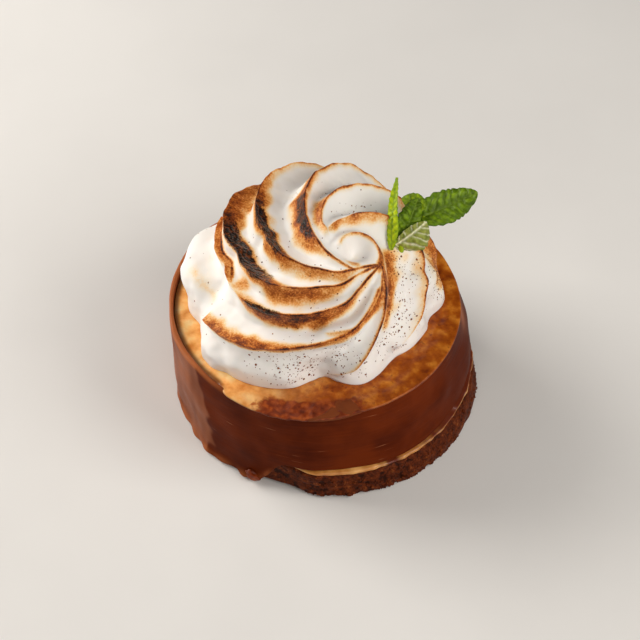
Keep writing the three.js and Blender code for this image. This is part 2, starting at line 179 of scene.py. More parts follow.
class Finish:
    """A material with a Principled shader; constants go straight onto its sockets."""

    def __init__(self, name, constants):
        self.material = bpy.data.materials.new(name)
        self.material.use_nodes = True
        self.tree = self.material.node_tree
        self.shader = self.tree.nodes["Principled BSDF"]
        for socket, value in constants.items():
            self.shader.inputs[socket].default_value = value

    def node(self, kind, settings=None, inputs=None, output=0):
        """Any node: its type, its settings, the values or links of its inputs, and which output is wanted."""
        node = self.tree.nodes.new(kind)
        for key, value in (settings or {}).items():
            if key == "stops":
                self.set_stops(node.color_ramp, value)
            else:
                setattr(node, key, value)
        for key, value in (inputs or {}).items():
            self.feed(node.inputs[key], value)
        return Socket(self, node.outputs[output])

    def set_stops(self, ramp, stops):
        while len(ramp.elements) < len(stops):
            ramp.elements.new(1)
        for element, (position, colour) in zip(ramp.elements, stops):
            element.position = position
            element.color = colour

    def feed(self, socket, value):
        if isinstance(value, Socket):
            self.tree.links.new(value.socket, socket)
        else:
            socket.default_value = value

    def give(self, socket, value):
        """Feeds one input of the shader."""
        self.feed(self.shader.inputs[socket], value)

    def field(self, name):
        """A number stored on the mesh's points."""
        return self.node("ShaderNodeAttribute", {"attribute_name": name}, None, "Fac")

    def noise(self, size, detail=3, stretch=(1, 1, 1)):
        """Soft noise, about 0.5, with features of a size in millimetres."""
        place = self.node("ShaderNodeTexCoord", None, None, "Object")
        scaled = self.node("ShaderNodeVectorMath", {"operation": "MULTIPLY"}, {0: place, 1: stretch})
        inputs = {"Vector": scaled, "Scale": 1 / (size * MM), "Detail": detail}
        return self.node("ShaderNodeTexNoise", None, inputs)

    def cells(self, size):
        """Distance to the nearest of many scattered points, in parts of a size in millimetres."""
        place = self.node("ShaderNodeTexCoord", None, None, "Object")
        return self.node("ShaderNodeTexVoronoi", None, {"Vector": place, "Scale": 1 / (size * MM)})

    def ramp(self, value, *rows):
        """Colours along a value, from rows of a position and red, green and blue."""
        stops = [(position, srgb(*colour)) for position, *colour in rows]
        return self.node("ShaderNodeValToRGB", {"stops": stops}, {0: value})

    def blend(self, factor, first, second):
        """Two colours mixed by a factor. The colour sockets of a Mix node go by number."""
        inputs = {0: factor, 6: first, 7: second}
        return self.node("ShaderNodeMix", {"data_type": "RGBA"}, inputs, 2)

    def bump(self, height, depth, strength):
        """Fine relief of a depth in millimetres, fed to the normal."""
        inputs = {"Height": height, "Distance": depth * MM, "Strength": strength}
        self.give("Normal", self.node("ShaderNodeBump", None, inputs))

    def done(self):
        """Says how many nodes the finish took, and hands it over."""
        print("finish", self.material.name, "with", len(self.tree.nodes), "nodes")
        return self


print("one orange on the screen:", [round(c, 3) for c in srgb(226, 150, 70)])

# %% [markdown]
# ## Mesh tools
# Every piece is a grid of points worked out with arrays, because a cake is made of rings and skins. Noise for
# relief is a sum of waves in random directions, drawn from a fixed seed, so that each run gives the same
# cake.

# %% Numbers and noise
def smooth(low, high, x):
    t = np.clip((x - low) / (high - low), 0, 1)
    return t * t * (3 - 2 * t)


def mix(a, b, t):
    return a + (b - a) * t


def turn(a, b):
    """Angle from b to a in degrees, -180 to 180."""
    return (a - b + 180) % 360 - 180


def bell(x, width):
    return np.exp(-((x / width) ** 2))


def waves(points, size, seed, count=20):
    """Soft noise with a spread of about 1: waves of about one size, in millimetres, in random directions."""
    draw = np.random.default_rng(seed)
    total = np.zeros(points.shape[:-1])
    for _ in range(count):
        direction = draw.normal(size=points.shape[-1])
        direction *= 2 * math.pi / (size * draw.uniform(0.7, 1.5) * np.linalg.norm(direction))
        total += np.sin(points @ direction + draw.uniform(0, 2 * math.pi))
    return total / math.sqrt(count / 2)


def polar(radius, deg):
    """Flat places at a distance and an angle in degrees."""
    angle = np.radians(deg)
    return np.stack([radius * np.cos(angle), radius * np.sin(angle)], axis=-1)


def unit(vectors):
    """Vectors of the same directions and of length 1."""
    return vectors / np.linalg.norm(vectors, axis=-1, keepdims=True)


print("spread of the waves:", round(float(waves(polar(30, np.arange(360)), 5, 0).std()), 2))


# %% Faces of grids
def hoop_faces(rows, columns):
    """Quads between rows that each run once round, the last row joined to the first."""
    here = np.arange(rows * columns).reshape(rows, columns)
    beside = np.roll(here, -1, axis=1)
    corners = [here, beside, np.roll(beside, -1, axis=0), np.roll(here, -1, axis=0)]
    return np.stack(corners, axis=-1).reshape(-1, 4)


def ring_faces(rows, columns):
    """Quads between rows that each run once round, open at both ends."""
    return hoop_faces(rows, columns)[:-columns]


def fan_faces(row_start, columns, tip, flip=False):
    """Triangles from one row of points to a single tip."""
    here = row_start + np.arange(columns)
    after = np.roll(here, -1)
    order = [after, here] if flip else [here, after]
    return np.stack([*order, np.full(columns, tip)], axis=-1)


def capped(grid, low, high):
    """Points and faces of rows that each run once round, closed at either end by a fan to a tip."""
    rows, columns = grid.shape[:2]
    count = rows * columns
    faces = [
        ring_faces(rows, columns),
        fan_faces(0, columns, count, flip=True),
        fan_faces(count - columns, columns, count + 1),
    ]
    return np.concatenate([grid.reshape(-1, 3), [low, high]]), faces


print("a cube's four sides:", ring_faces(2, 4).tolist())


# %% Pieces from points and faces
def per_point(values, count):
    """A number from 0 to 1 for each point; the tips that close a skin come last and get 0."""
    if np.ndim(values) == 0:
        values = np.full(count, values)
    known = np.clip(values, 0, 1).ravel()
    return np.append(known, np.zeros(count - len(known))).astype(np.float32)


def make_piece(name, points, faces, finish, slot, fields, replaces=None):
    """A mesh piece from points in millimetres, with numbers stored on its points, riding on the cake."""
    points = np.reshape(points, (-1, 3))
    mesh = bpy.data.meshes.new(name)
    mesh.from_pydata((points * MM).tolist(), [], [f for group in faces for f in group.tolist()])
    for field, values in fields.items():
        layer = mesh.attributes.new(field, "FLOAT", "POINT")
        layer.data.foreach_set("value", per_point(values, len(points)))
    mesh.shade_smooth()
    mesh.materials.append(finish.material)
    piece = add_object(name, mesh)
    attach(piece, "root")
    if replaces:
        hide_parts(replaces)
    mesh.calc_loop_triangles()
    print(name, len(mesh.vertices), "points", len(mesh.loop_triangles), "triangles")


# %% [markdown]
# ## The cake's own frame
# The side leans a little to the left as it rises, and the caramel layer lies at a slant, lowest at the front
# right, where the chocolate band has lifted off the base. These few functions hold that, and every layer
# below is made from them.

# %% Sizes of the cake
CAKE_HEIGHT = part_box("cake_body")[1].z / MM
LEAN = -3.4
BAND_RADIUS_FOOT = 40.6
BAND_RADIUS_TOP = 39.2
BAND_THICKNESS = 1.6
GAP = 0.3
SEAM_HEIGHT = 10.6
SEAM_DROP = 2.3
SEAM_LOW_SIDE = 303
CARAMEL_THICKNESS = 1.1
LIFT_FROM = 241
LIFT_TO = 404
LIFT_RAMP = 16
BASE_BULGE = 2.6
BULGE_INSET = 12
SIDE_SWELL = 1.8
SIDE_SWELL_AT = 6
SIDE_SWELL_WIDTH = 26
SIDE_SWELL_HEIGHT = 18
SIDE_SWELL_TALL = 8
AROUND = 480
DEGREES = np.arange(AROUND) * 360 / AROUND
print("cake top at", round(CAKE_HEIGHT, 2), "mm")


# %% The leaning side
def axis_x(z):
    return LEAN * z / CAKE_HEIGHT


def band_radius(z):
    return mix(BAND_RADIUS_FOOT, BAND_RADIUS_TOP, z / CAKE_HEIGHT)


def inside_radius(z):
    return band_radius(z) - BAND_THICKNESS - GAP


def on_side(deg, radius, z):
    """Points round the leaning axis; the side swells out a little at the right."""
    angle = np.radians(deg)
    swell = SIDE_SWELL * bell(turn(deg, SIDE_SWELL_AT), SIDE_SWELL_WIDTH)
    reach = radius + swell * bell(z - SIDE_SWELL_HEIGHT, SIDE_SWELL_TALL)
    return np.stack([axis_x(z) + reach * np.cos(angle), reach * np.sin(angle), z + 0 * angle], axis=-1)


def seam(deg):
    """Height of the caramel layer's underside."""
    return SEAM_HEIGHT - SEAM_DROP * np.cos(np.radians(turn(deg, SEAM_LOW_SIDE)))


def lifted(deg, inset):
    """1 where the band is clear of the base, 0 where it reaches the floor."""
    middle = (LIFT_FROM + LIFT_TO) / 2
    half = (LIFT_TO - LIFT_FROM) / 2 - inset
    return 1 - smooth(half - LIFT_RAMP, half, np.abs(turn(deg, middle)))


def side_radius(deg, z):
    """Side of the base and of the caramel layer, which bulge out under the lifted band."""
    return inside_radius(z) + BASE_BULGE * lifted(deg, BULGE_INSET)


print("seam at the front and back:", [round(float(seam(deg)), 1) for deg in (270, 90)], "mm")

# %% [markdown]
# ## Crumb base
# The base is a dark, moist sponge that has been pressed into a ring: coarse crumbs and torn hollows at the
# side, flat underneath. Real relief in the mesh makes the torn look hold from any side, and loose crumbs are
# added.

# %% Sponge finish
def sponge_finish():
    finish = Finish("dark_sponge", {"Roughness": 0.6, "Specular IOR Level": 0.1})
    crumb = finish.noise(1.8, 5)
    fine = finish.noise(0.45, 3)
    hollow = finish.field("hollow")
    # Darker in the hollows: painted shade in the recesses of the crumb.
    tone = crumb * 0.6 + fine * 0.4 - hollow * 0.25
    dark = [(0.28, 46, 15, 4), (0.46, 80, 31, 9)]
    light = [(0.58, 104, 44, 14), (0.72, 146, 82, 38)]
    finish.give("Base Color", finish.ramp(tone, *dark, *light))
    finish.bump(fine + crumb, 0.22, 0.8)
    return finish.done()


SPONGE = sponge_finish()

# %% The pressed base
BASE_ROWS = 44
BASE_BELLY = 0.9
BASE_BELLY_INSET = LIFT_RAMP + 20
BASE_TUCK = 1.2
BASE_SHOULDER = 0.6
BASE_CALM_SIDE = 0
BASE_HIDDEN_RELIEF = 0.15


def make_base():
    deg = DEGREES
    level = np.linspace(0, 1, BASE_ROWS)[:, None]
    z = level * (seam(deg) - GAP)
    radius = side_radius(deg, z)
    radius = radius + BASE_BELLY * lifted(deg, BASE_BELLY_INSET) * np.sin(math.pi * level)
    radius = radius - BASE_TUCK * (1 - smooth(0, 0.12, level)) - BASE_SHOULDER * smooth(0.93, 1, level)
    points = on_side(deg, radius, z)
    coarse = waves(points, 4.5, 1)
    crumb = waves(points, 1.7, 2, 30)
    grain = waves(points, 0.8, 3, 30)
    calm = mix(0.3, 1, smooth(25, 60, np.abs(turn(deg, BASE_CALM_SIDE))))
    hollow = smooth(0.5, 1.6, -crumb - 0.4 * coarse) * calm
    relief = (0.22 * coarse + 0.08 * crumb + 0.05 * grain) * calm - 0.1 * hollow
    edge = smooth(0, 0.06, level) * smooth(0, 0.06, 1 - level)
    shown = mix(BASE_HIDDEN_RELIEF, 1, lifted(deg, LIFT_RAMP))
    points = on_side(deg, radius + relief * shown * edge, z)
    skin = capped(points, [0, 0, 0], [axis_x(SEAM_HEIGHT), 0, SEAM_HEIGHT - GAP])
    make_piece("sponge_base", *skin, SPONGE, "sponge", {"hollow": hollow}, "base_sponge")
    return points


base_points = make_base()

# %% [markdown]
# ## Scattered small things
# Crumbs and cocoa specks are all made alike: a ball of twenty triangles, pushed out of shape, pressed flat to
# the surface that carries it and sunk in a little. They are joined into one mesh for each kind.

# %% A scatter of rough balls
GOLDEN = (1 + math.sqrt(5)) / 2
BALL_POINTS = np.array(
    [(a, b * GOLDEN, 0) for a in (-1, 1) for b in (-1, 1)]
    + [(0, a, b * GOLDEN) for a in (-1, 1) for b in (-1, 1)]
    + [(b * GOLDEN, 0, a) for a in (-1, 1) for b in (-1, 1)]
) / math.hypot(1, GOLDEN)
BALL_CORNERS = len(BALL_POINTS)


def ball_faces():
    """The triangles of a regular ball: every three points that are each other's neighbours."""
    side = 2 / math.hypot(1, GOLDEN)
    near = np.abs(np.linalg.norm(BALL_POINTS[:, None] - BALL_POINTS[None], axis=-1) - side) < 1e-6
    faces = []
    for a, b, c in itertools.combinations(range(BALL_CORNERS), 3):
        if near[a, b] and near[b, c] and near[a, c]:
            outward = np.linalg.det(BALL_POINTS[[a, b, c]]) > 0
            faces.append((a, b, c) if outward else (a, c, b))
    return np.array(faces)


BALL_FACES = ball_faces()


def scatter(places, normals, sizes, flat, sink, seed):
    """Points and faces of many rough balls, each flattened along its normal and sunk into the surface."""
    draw = np.random.default_rng(seed)
    points = []
    faces = []
    for k, (place, normal, size) in enumerate(zip(places, normals, sizes)):
        first = unit(np.cross(normal, draw.normal(size=3)))
        second = np.cross(normal, first)
        shape = BALL_POINTS * draw.uniform(0.65, 1.25, (BALL_CORNERS, 1)) * draw.uniform(0.7, 1.3, 3)
        local = shape[:, :1] * first + shape[:, 1:2] * second + shape[:, 2:] * flat * normal
        points.append(place + size / 2 * (local - sink * normal))
        faces.append(BALL_FACES + BALL_CORNERS * k)
    return np.concatenate(points), [np.concatenate(faces)]


print("a ball has", len(BALL_FACES), "triangles")

# %% Crumbs on the base
CRUMBS = 420
CRUMB_SIZE = 0.7
CRUMB_SPREAD = 0.35
CRUMB_LEAST = 0.3
CRUMB_MOST = 1.5
CRUMB_FLAT = 0.8
CRUMB_SINK = 0.1
CRUMB_LIFT = 0.9


def make_crumbs():
    draw = np.random.default_rng(11)
    rows, columns = base_points.shape[:2]
    places = []
    while len(places) < CRUMBS:
        column = draw.integers(columns)
        row = int(rows * draw.beta(1.0, 1.8))
        deg = DEGREES[column]
        smoother = 0.75 * smooth(315, 345, deg) + 0.75 * (deg < 90)
        if draw.random() < lifted(deg, LIFT_RAMP) - smoother:
            places.append(base_points[min(max(row, 2), rows - 3), column])
    places = np.array(places)
    normals = unit(places * [1, 1, 0])
    sizes = draw.lognormal(math.log(CRUMB_SIZE), CRUMB_SPREAD, CRUMBS).clip(CRUMB_LEAST, CRUMB_MOST)
    places[:, 2] = np.maximum(places[:, 2], CRUMB_LIFT * sizes)
    balls = scatter(places, normals, sizes, CRUMB_FLAT, CRUMB_SINK, 12)
    make_piece("sponge_crumbs", *balls, SPONGE, "sponge", {"hollow": 0})


make_crumbs()

# %% [markdown]
# ## Caramel layer
# A thin layer of soft caramel lies between the base and the filling. It has been squeezed out under the
# lifted band as a shiny tan lip of uneven width, which is all that shows of it. A bevelled disc would have
# too even an edge, so the lip is a grid of points whose height and bulge vary round the cake.

# %% Soft caramel finish
def soft_caramel_finish():
    finish = Finish("soft_caramel", {
        "Specular IOR Level": 0.5,
        "Subsurface Weight": 0.1,
        "Subsurface Radius": (1, 0.5, 0.2),
        "Subsurface Scale": 1.0 * MM,
    })
    blotch = finish.noise(5, 3)
    red = finish.field("red")
    tone = finish.ramp(blotch, (0.3, 160, 88, 34), (0.5, 205, 140, 70), (0.7, 232, 176, 106))
    # The red field also carries painted shade: the lip's upper rows at the right are darkened under the
    # band's edge.
    finish.give("Base Color", finish.blend(red, tone, srgb(104, 38, 14)))
    finish.give("Roughness", finish.noise(2, 2) * 0.3 + 0.2)
    return finish.done()


SOFT_CARAMEL = soft_caramel_finish()

# %% The squeezed lip
LIP_ROWS = 17
LIP_DEPTH = 0.5
LIP_RADIUS = 30
LIP_GAP_AT = 297.5
LIP_GAP_WIDTH = 3.4
LIP_THIN_AT = 356


def make_caramel_line():
    deg = DEGREES
    share = np.linspace(0, 1, LIP_ROWS)[:, None]
    shown = lifted(deg, BULGE_INSET)
    around = polar(LIP_RADIUS, deg)
    uneven = waves(around, 7, 21) + 0.5 * waves(around, 2.5, 22)
    taper = mix(0.45, 1, smooth(262, 274, deg)) * shown + (1 - shown)
    right = 1 - smooth(30, 56, np.abs(turn(deg, LIP_THIN_AT)))
    gap = bell(turn(deg, LIP_GAP_AT), LIP_GAP_WIDTH)
    thick = CARAMEL_THICKNESS * (1 + shown * (0.12 * uneven + 0.1 - 0.55 * right - 0.3 * gap)) * taper
    z = seam(deg) + thick * share
    bulge = np.sqrt(np.clip(1 - (2 * share - 1) ** 2, 0, 1))
    squeezed = 0.62 + 0.16 * uneven - 0.35 * right
    points = on_side(deg, side_radius(deg, z) - LIP_DEPTH + bulge * mix(LIP_DEPTH, squeezed, shown), z)
    # Redder at the gap, where the lip is thin and at the right; darkest on the upper rows at the right, as
    # painted shade under the band's edge.
    red = gap + 0.25 * smooth(0.2, 1.5, -uneven) + right * (0.3 + 0.7 * smooth(0.7, 0.95, share))
    low = [axis_x(SEAM_HEIGHT), 0, SEAM_HEIGHT]
    high = [axis_x(SEAM_HEIGHT), 0, SEAM_HEIGHT + CARAMEL_THICKNESS]
    skin = capped(points, low, high)
    make_piece("caramel_line", *skin, SOFT_CARAMEL, "caramel", {"red": red}, "caramel_layer")


make_caramel_line()

# %% [markdown]
# ## Chocolate band
# The band is a strip of dark chocolate that was set against a film, so its outside is smooth with a few fine
# scratches, its edges are thin and a little wavy, and it stands proud of the caramel at the left and back.
# One patch at the left kept the film's polish, so it mirrors the pale surroundings; that patch is also
# painted lighter as a painted reflection, the top of the proud rim and the thick foot where the band reaches
# the floor are painted lighter as painted highlights, and the band is tan in a patch at the right. A
# thickened cylinder would end level, but this band follows the slanting caramel, so a rounded cross-section
# is carried round the cake with its own foot and top at every degree.

# %% Chocolate finish
def chocolate_finish():
    constants = {"Specular IOR Level": 0.02, "Coat Roughness": 0.25, "Coat IOR": 1.4}
    finish = Finish("dark_chocolate", constants)
    cloud = finish.noise(14, 3)
    streak = finish.noise(1.3, 4, (0.12, 0.12, 2.2))
    scratch = streak.over(0.66, 0.74) * finish.noise(9, 2).over(0.5, 0.62)
    tone = finish.ramp(cloud + streak * 0.25 - 0.12, (0.35, 76, 26, 9), (0.65, 104, 40, 12))
    # The lighter colour fed in here is the tongue's own lighter tone and a tan patch, and on the band a
    # painted reflection on the polished patch and painted highlights on the top of the proud rim and on the
    # thick foot.
    worn = finish.field("worn")
    tone_with_painted_sheen = finish.blend(worn, tone, srgb(170, 98, 58))
    finish.give("Base Color", finish.blend(scratch * 0.5, tone_with_painted_sheen, srgb(186, 120, 84)))
    finish.give("Roughness", 0.34 + streak * 0.16 + scratch * 0.2)
    finish.give("Coat Weight", finish.field("polish") * 0.25)
    finish.bump(streak + cloud * 0.6 - scratch, 0.12, 0.5)
    return finish.done()


CHOCOLATE = chocolate_finish()

# %% Edges of the band
BAND_CLIMB_AT = 362
BAND_CLIMB = 4.5
BAND_PROUD_AT = 170
BAND_PROUD = 1.8
BAND_DIP_AT = 262
BAND_DIP = 1.3
BAND_WAVE_RADIUS = 38


def band_proud(deg):
    return 1 - smooth(40, 75, np.abs(turn(deg, BAND_PROUD_AT)))


def band_foot(deg):
    clear = seam(deg) + CARAMEL_THICKNESS + GAP
    climb = BAND_CLIMB * bell(turn(deg, BAND_CLIMB_AT), 13)
    return mix(GAP, clear, lifted(deg, 0)) + climb * lifted(deg, 0)


def band_top(deg):
    dip = BAND_DIP * bell(turn(deg, BAND_DIP_AT), 20)
    ripple = 0.12 * waves(polar(BAND_WAVE_RADIUS, deg), 11, 31)
    return CAKE_HEIGHT + 0.1 + BAND_PROUD * band_proud(deg) - dip + ripple


print("band foot at the front and left:", [round(float(band_foot(deg)), 1) for deg in (270, 180)], "mm")

# %% The wrapped band
WALL_ROWS = 56
EDGE_ROWS = 7
BAND_LIP = 0.02
BAND_INSET = 0.12
POLISH_FROM = 150
POLISH_TO = 222
POLISH_FADE = 30
POLISH_BORDER = 3
TAN_PATCH_AT = 1
TAN_PATCH_HEIGHT = 26.5


def band_section():
    """Share of the height and share of the thickness, once round the band's cross-section."""
    rise = np.linspace(BAND_LIP, 1 - BAND_LIP, WALL_ROWS)
    half = np.linspace(0, math.pi, EDGE_ROWS + 2)[1:-1]
    outer = np.stack([rise, np.zeros(WALL_ROWS)], axis=-1)
    top = np.stack([1 - BAND_LIP + BAND_LIP * np.sin(half), 0.5 - 0.5 * np.cos(half)], axis=-1)
    inner = np.stack([rise[::-4], np.ones(len(rise[::-4]))], axis=-1)
    low = np.stack([BAND_LIP - BAND_LIP * np.sin(half), 0.5 + 0.5 * np.cos(half)], axis=-1)
    return np.concatenate([outer, top, inner, low])


def make_band():
    deg = DEGREES
    height, depth = np.hsplit(band_section(), 2)
    outside = 1 - depth
    foot = band_foot(deg)
    top = band_top(deg)
    z = mix(foot, top, height)
    points = on_side(deg, band_radius(z), z)
    wavy = 0.22 * waves(points, 21, 32) + 0.07 * waves(points, 8, 33)
    skirt = 0.5 * bell(z - foot - 0.5, 1.3) * (1 - lifted(deg, 0)) * (1 + 0.6 * waves(points, 5, 34))
    radius = band_radius(z) + (wavy + skirt) * outside - BAND_INSET - BAND_THICKNESS * depth
    points = on_side(deg, radius, z)
    border = deg + 1.5 * waves(points, 6, 35)
    polish = smooth(POLISH_FROM - POLISH_FADE, POLISH_FROM, deg)
    polish = polish * (1 - smooth(POLISH_TO - POLISH_BORDER, POLISH_TO, border))
    polish = polish * outside * (0.75 + 0.2 * waves(points * [1, 1, 0.25], 5, 36))
    tan_patch = 0.7 * bell(turn(deg, TAN_PATCH_AT), 5) * bell(z - TAN_PATCH_HEIGHT, 3.5) * outside
    # A lighter colour: painted reflection on the polished patch, painted highlights on the top of the proud
    # rim and on the thick foot, and a tan patch at the right.
    worn = 0.55 * polish + tan_patch + bell(z - top, 0.7) * band_proud(deg) + 0.6 * skirt * outside
    faces = hoop_faces(len(height), AROUND)
    fields = {"polish": polish, "worn": worn}
    make_piece("chocolate_wall", points, [faces], CHOCOLATE, "chocolate", fields, "chocolate_band")


make_band()

# %% [markdown]
# ## Filling and caramel top
# Under the band the filling is a plain soft body. On top lies the caramel: golden where it is thin, deep
# orange at the right, and dark red and crumbly where it has caught at the front rim. It laps over the band's
# edge except at the left and back, where the band stands proud of it. A colour on the filling could not do
# that, so the caramel is a skin of its own.

# %% Caramel glaze finish
def glaze_finish():
    finish = Finish("caramel_glaze", {
        "Specular IOR Level": 0.25,
        "Subsurface Weight": 0.12,
        "Subsurface Radius": (1, 0.45, 0.15),
        "Subsurface Scale": 1.2 * MM,
        "Coat Roughness": 0.15,
    })
    deep = finish.field("deep")
    red = finish.field("red")
    dark = finish.field("dark")
    blotch = finish.noise(4.5, 4)
    grain = finish.noise(1.1, 4)
    streak = finish.noise(2, 5)
    golden = finish.ramp(blotch, (0.32, 222, 138, 58), (0.5, 250, 184, 106), (0.68, 253, 216, 152))
    clouded = blotch * 0.6 + streak * 0.4
    orange = finish.ramp(clouded, (0.34, 118, 44, 0), (0.5, 170, 84, 10), (0.66, 216, 136, 44))
    orange = finish.blend(grain.over(0.6, 0.7) * 0.5, orange, srgb(104, 38, 6))
    caught = finish.ramp(streak, (0.32, 88, 29, 5), (0.5, 126, 49, 13), (0.66, 160, 76, 26))
    tone = finish.blend(deep, golden, orange)
    tone = finish.blend((red + (streak - 0.5) * 1.2 + (grain - 0.5) * 0.4).over(0.25, 0.65), tone, caught)
    # The dark field makes the glaze darker on the edge that turns down over the band, and is painted shade in
    # the corner along the proud band.
    finish.give("Base Color", finish.blend(dark, tone, srgb(84, 32, 10)))
    finish.give("Roughness", 0.3 + grain * 0.2)
    finish.give("Coat Weight", 0.2 - deep * 0.1 - red * 0.08)
    finish.bump(grain + blotch * 0.5, 0.14, 0.6)
    return finish.done()


GLAZE = glaze_finish()

# %% The filling
FILLING_ROWS = 20
FILLING_SHOULDER = 1.2
FILLING_RIPPLE = 0.12


def make_filling():
    deg = DEGREES
    share = np.linspace(0, 1, FILLING_ROWS)[:, None]
    top = CAKE_HEIGHT - 0.15 - 1.5 * BAND_DIP * bell(turn(deg, BAND_DIP_AT), 26)
    z = mix(seam(deg) + CARAMEL_THICKNESS + GAP, top, share)
    radius = inside_radius(z) - FILLING_SHOULDER * smooth(0.9, 1, share)
    ripple = FILLING_RIPPLE * waves(on_side(deg, radius, z), 3, 41) * smooth(0, 0.1, share)
    points = on_side(deg, radius + ripple, z)
    low = [axis_x(SEAM_HEIGHT), 0, SEAM_HEIGHT + CARAMEL_THICKNESS + GAP]
    high = [axis_x(CAKE_HEIGHT), 0, CAKE_HEIGHT - 1.5]
    fields = {"deep": 0, "red": 0, "dark": 0}
    make_piece("filling", *capped(points, low, high), GLAZE, "caramel_top", fields, "cake_body")


make_filling()

# %% Where the caramel is deep or burnt
BURNT_FROM = 248
BURNT_TO = 290
BURNT_FADE = 8
DEEP_AT = 335


def burnt(deg, radius):
    """The caught patch at the front rim."""
    middle = (BURNT_FROM + BURNT_TO) / 2
    half = (BURNT_TO - BURNT_FROM) / 2
    away = np.abs(turn(deg, middle))
    return (1 - smooth(half - BURNT_FADE, half + BURNT_FADE, away)) * smooth(31.5, 36, radius)


def deep(deg):
    """0 at the left and front left, 1 at the right."""
    return 1 - smooth(55, 120, np.abs(turn(deg, DEEP_AT)))


print("deep at the left, front and right:", [round(float(deep(deg)), 2) for deg in (180, 270, 360)])


# %% The caramel glaze
GLAZE_INNER = 20
GLAZE_ROWS = 60
GLAZE_EDGE_ROWS = 8
GLAZE_EDGE = 0.5
GLAZE_LEVEL = CAKE_HEIGHT + 0.2
RIM_LIFT = 0.3
RIM_FROM = 29
RIM_TO = 38


def glaze_relief(points, radius):
    """Soft unevenness of the caramel, calmer at the rim, where the band's edge lies close under it."""
    return (0.14 * waves(points, 8, 51) + 0.06 * waves(points, 3, 52)) * (1 - 0.8 * smooth(34, 38, radius))


def make_glaze():
    deg = DEGREES
    half = np.linspace(0, math.pi, GLAZE_EDGE_ROWS + 1)[1:]
    flat = np.zeros(GLAZE_ROWS)
    reach = np.concatenate([np.linspace(0, 1, GLAZE_ROWS), np.ones(GLAZE_EDGE_ROWS), [0.9, 0]])[:, None]
    out = np.concatenate([flat, np.sin(half), [-0.4, 0]])[:, None]
    drop = np.concatenate([flat, 1 - np.cos(half), [2, 2]])[:, None]
    inside = smooth(0.15, 0.5, band_proud(deg))
    edge = mix(BAND_RADIUS_TOP - 0.15, BAND_RADIUS_TOP - BAND_THICKNESS - 0.75, inside)
    rim = mix(band_top(deg) + RIM_LIFT, CAKE_HEIGHT + 0.15, inside)
    radius = mix(GLAZE_INNER, edge, reach)
    level = mix(GLAZE_LEVEL, rim, smooth(RIM_FROM, RIM_TO, radius))
    points = on_side(deg, radius, level)
    caught = burnt(deg, radius)
    lumps = 0.12 * waves(points, 4, 53, 30) + 0.04 * waves(points, 1.6, 54, 30)
    relief = glaze_relief(points, radius) + caught * lumps
    points = on_side(deg, radius + GLAZE_EDGE * out, level + relief * (drop < 2) - GLAZE_EDGE * drop * 0.8)
    faces = hoop_faces(len(reach), AROUND)[:, ::-1]
    # Darker where the glaze turns down over the band's edge, and painted shade in the last millimetre beside
    # the proud band.
    rolled_edge_and_corner_shade = smooth(0.1, 1.6, drop) * (1 - inside) + 0.8 * inside * smooth(edge - 1.4, edge - 0.2, radius)
    fields = {"deep": deep(deg) * smooth(18, 30, radius), "red": caught, "dark": rolled_edge_and_corner_shade}
    make_piece("caramel_glaze", points, [faces], GLAZE, "caramel_top", fields)


make_glaze()

# %% A tongue of chocolate over the rim
TONGUE_FROM = 268
TONGUE_TO = 288.5
TONGUE_WIDTH = 5.2
TONGUE_COLUMNS = 60
TONGUE_ROWS = 24
TONGUE_THICKNESS = 0.45
TONGUE_DEPTH = 0.35


def sheet_faces(rows, columns):
    """Quads of an upper and a lower sheet of the same grid, closed round their edge."""
    index = np.arange(rows * columns).reshape(rows, columns)
    corners = [index[:-1, :-1], index[:-1, 1:], index[1:, 1:], index[1:, :-1]]
    upper = np.stack(corners, axis=-1).reshape(-1, 4)
    edge = np.concatenate([index[0, :-1], index[:-1, -1], index[-1, :0:-1], index[:0:-1, 0]])
    after = np.roll(edge, -1)
    count = rows * columns
    wall = np.stack([edge, edge + count, after + count, after], axis=-1)
    return np.concatenate([upper, upper[:, ::-1] + count, wall])


def make_tongue():
    t = np.linspace(0, 1, TONGUE_COLUMNS)[None]
    s = np.linspace(0, 1, TONGUE_ROWS)[:, None]
    deg = mix(TONGUE_FROM, TONGUE_TO, t) + 0 * s
    ragged = 1 + 0.1 * np.sin(13 * t) + 0.04 * np.sin(31 * t + 1)
    width = TONGUE_WIDTH * smooth(0, 0.75, t) * (1 - smooth(0.93, 1, t)) * ragged + 0.2
    radius = BAND_RADIUS_TOP + 0.35 - width * s
    round_sides = np.sin(math.pi * np.clip(s, 0.02, 0.98)) ** 0.4
    round_ends = np.clip(np.sin(math.pi * t), 0.02, 1) ** 0.3
    level = mix(GLAZE_LEVEL, band_top(deg) + RIM_LIFT, smooth(RIM_FROM, RIM_TO, radius))
    points = on_side(deg, radius, level)
    under = level + glaze_relief(points, radius) - 0.5 * (1 - smooth(0, 0.25, s))
    thick = TONGUE_THICKNESS * (round_sides * round_ends) * (1 + 0.25 * waves(points, 3, 56))
    upper = under + thick - 0.05
    skin = np.concatenate([on_side(deg, radius, upper), on_side(deg, radius, under - TONGUE_DEPTH)])
    faces = sheet_faces(TONGUE_ROWS, TONGUE_COLUMNS)
    make_piece("chocolate_tongue", skin, [faces], CHOCOLATE, "chocolate", {"polish": 0.2, "worn": 0.32})


make_tongue()

# %% A drop of caramel at the foot
DROP_AT = 241.5
DROP_HEIGHT = 2.4
DROP_HALF = np.array([2.2, 1, 1.4])
DROP_ROWS = 24
DROP_COLUMNS = 48


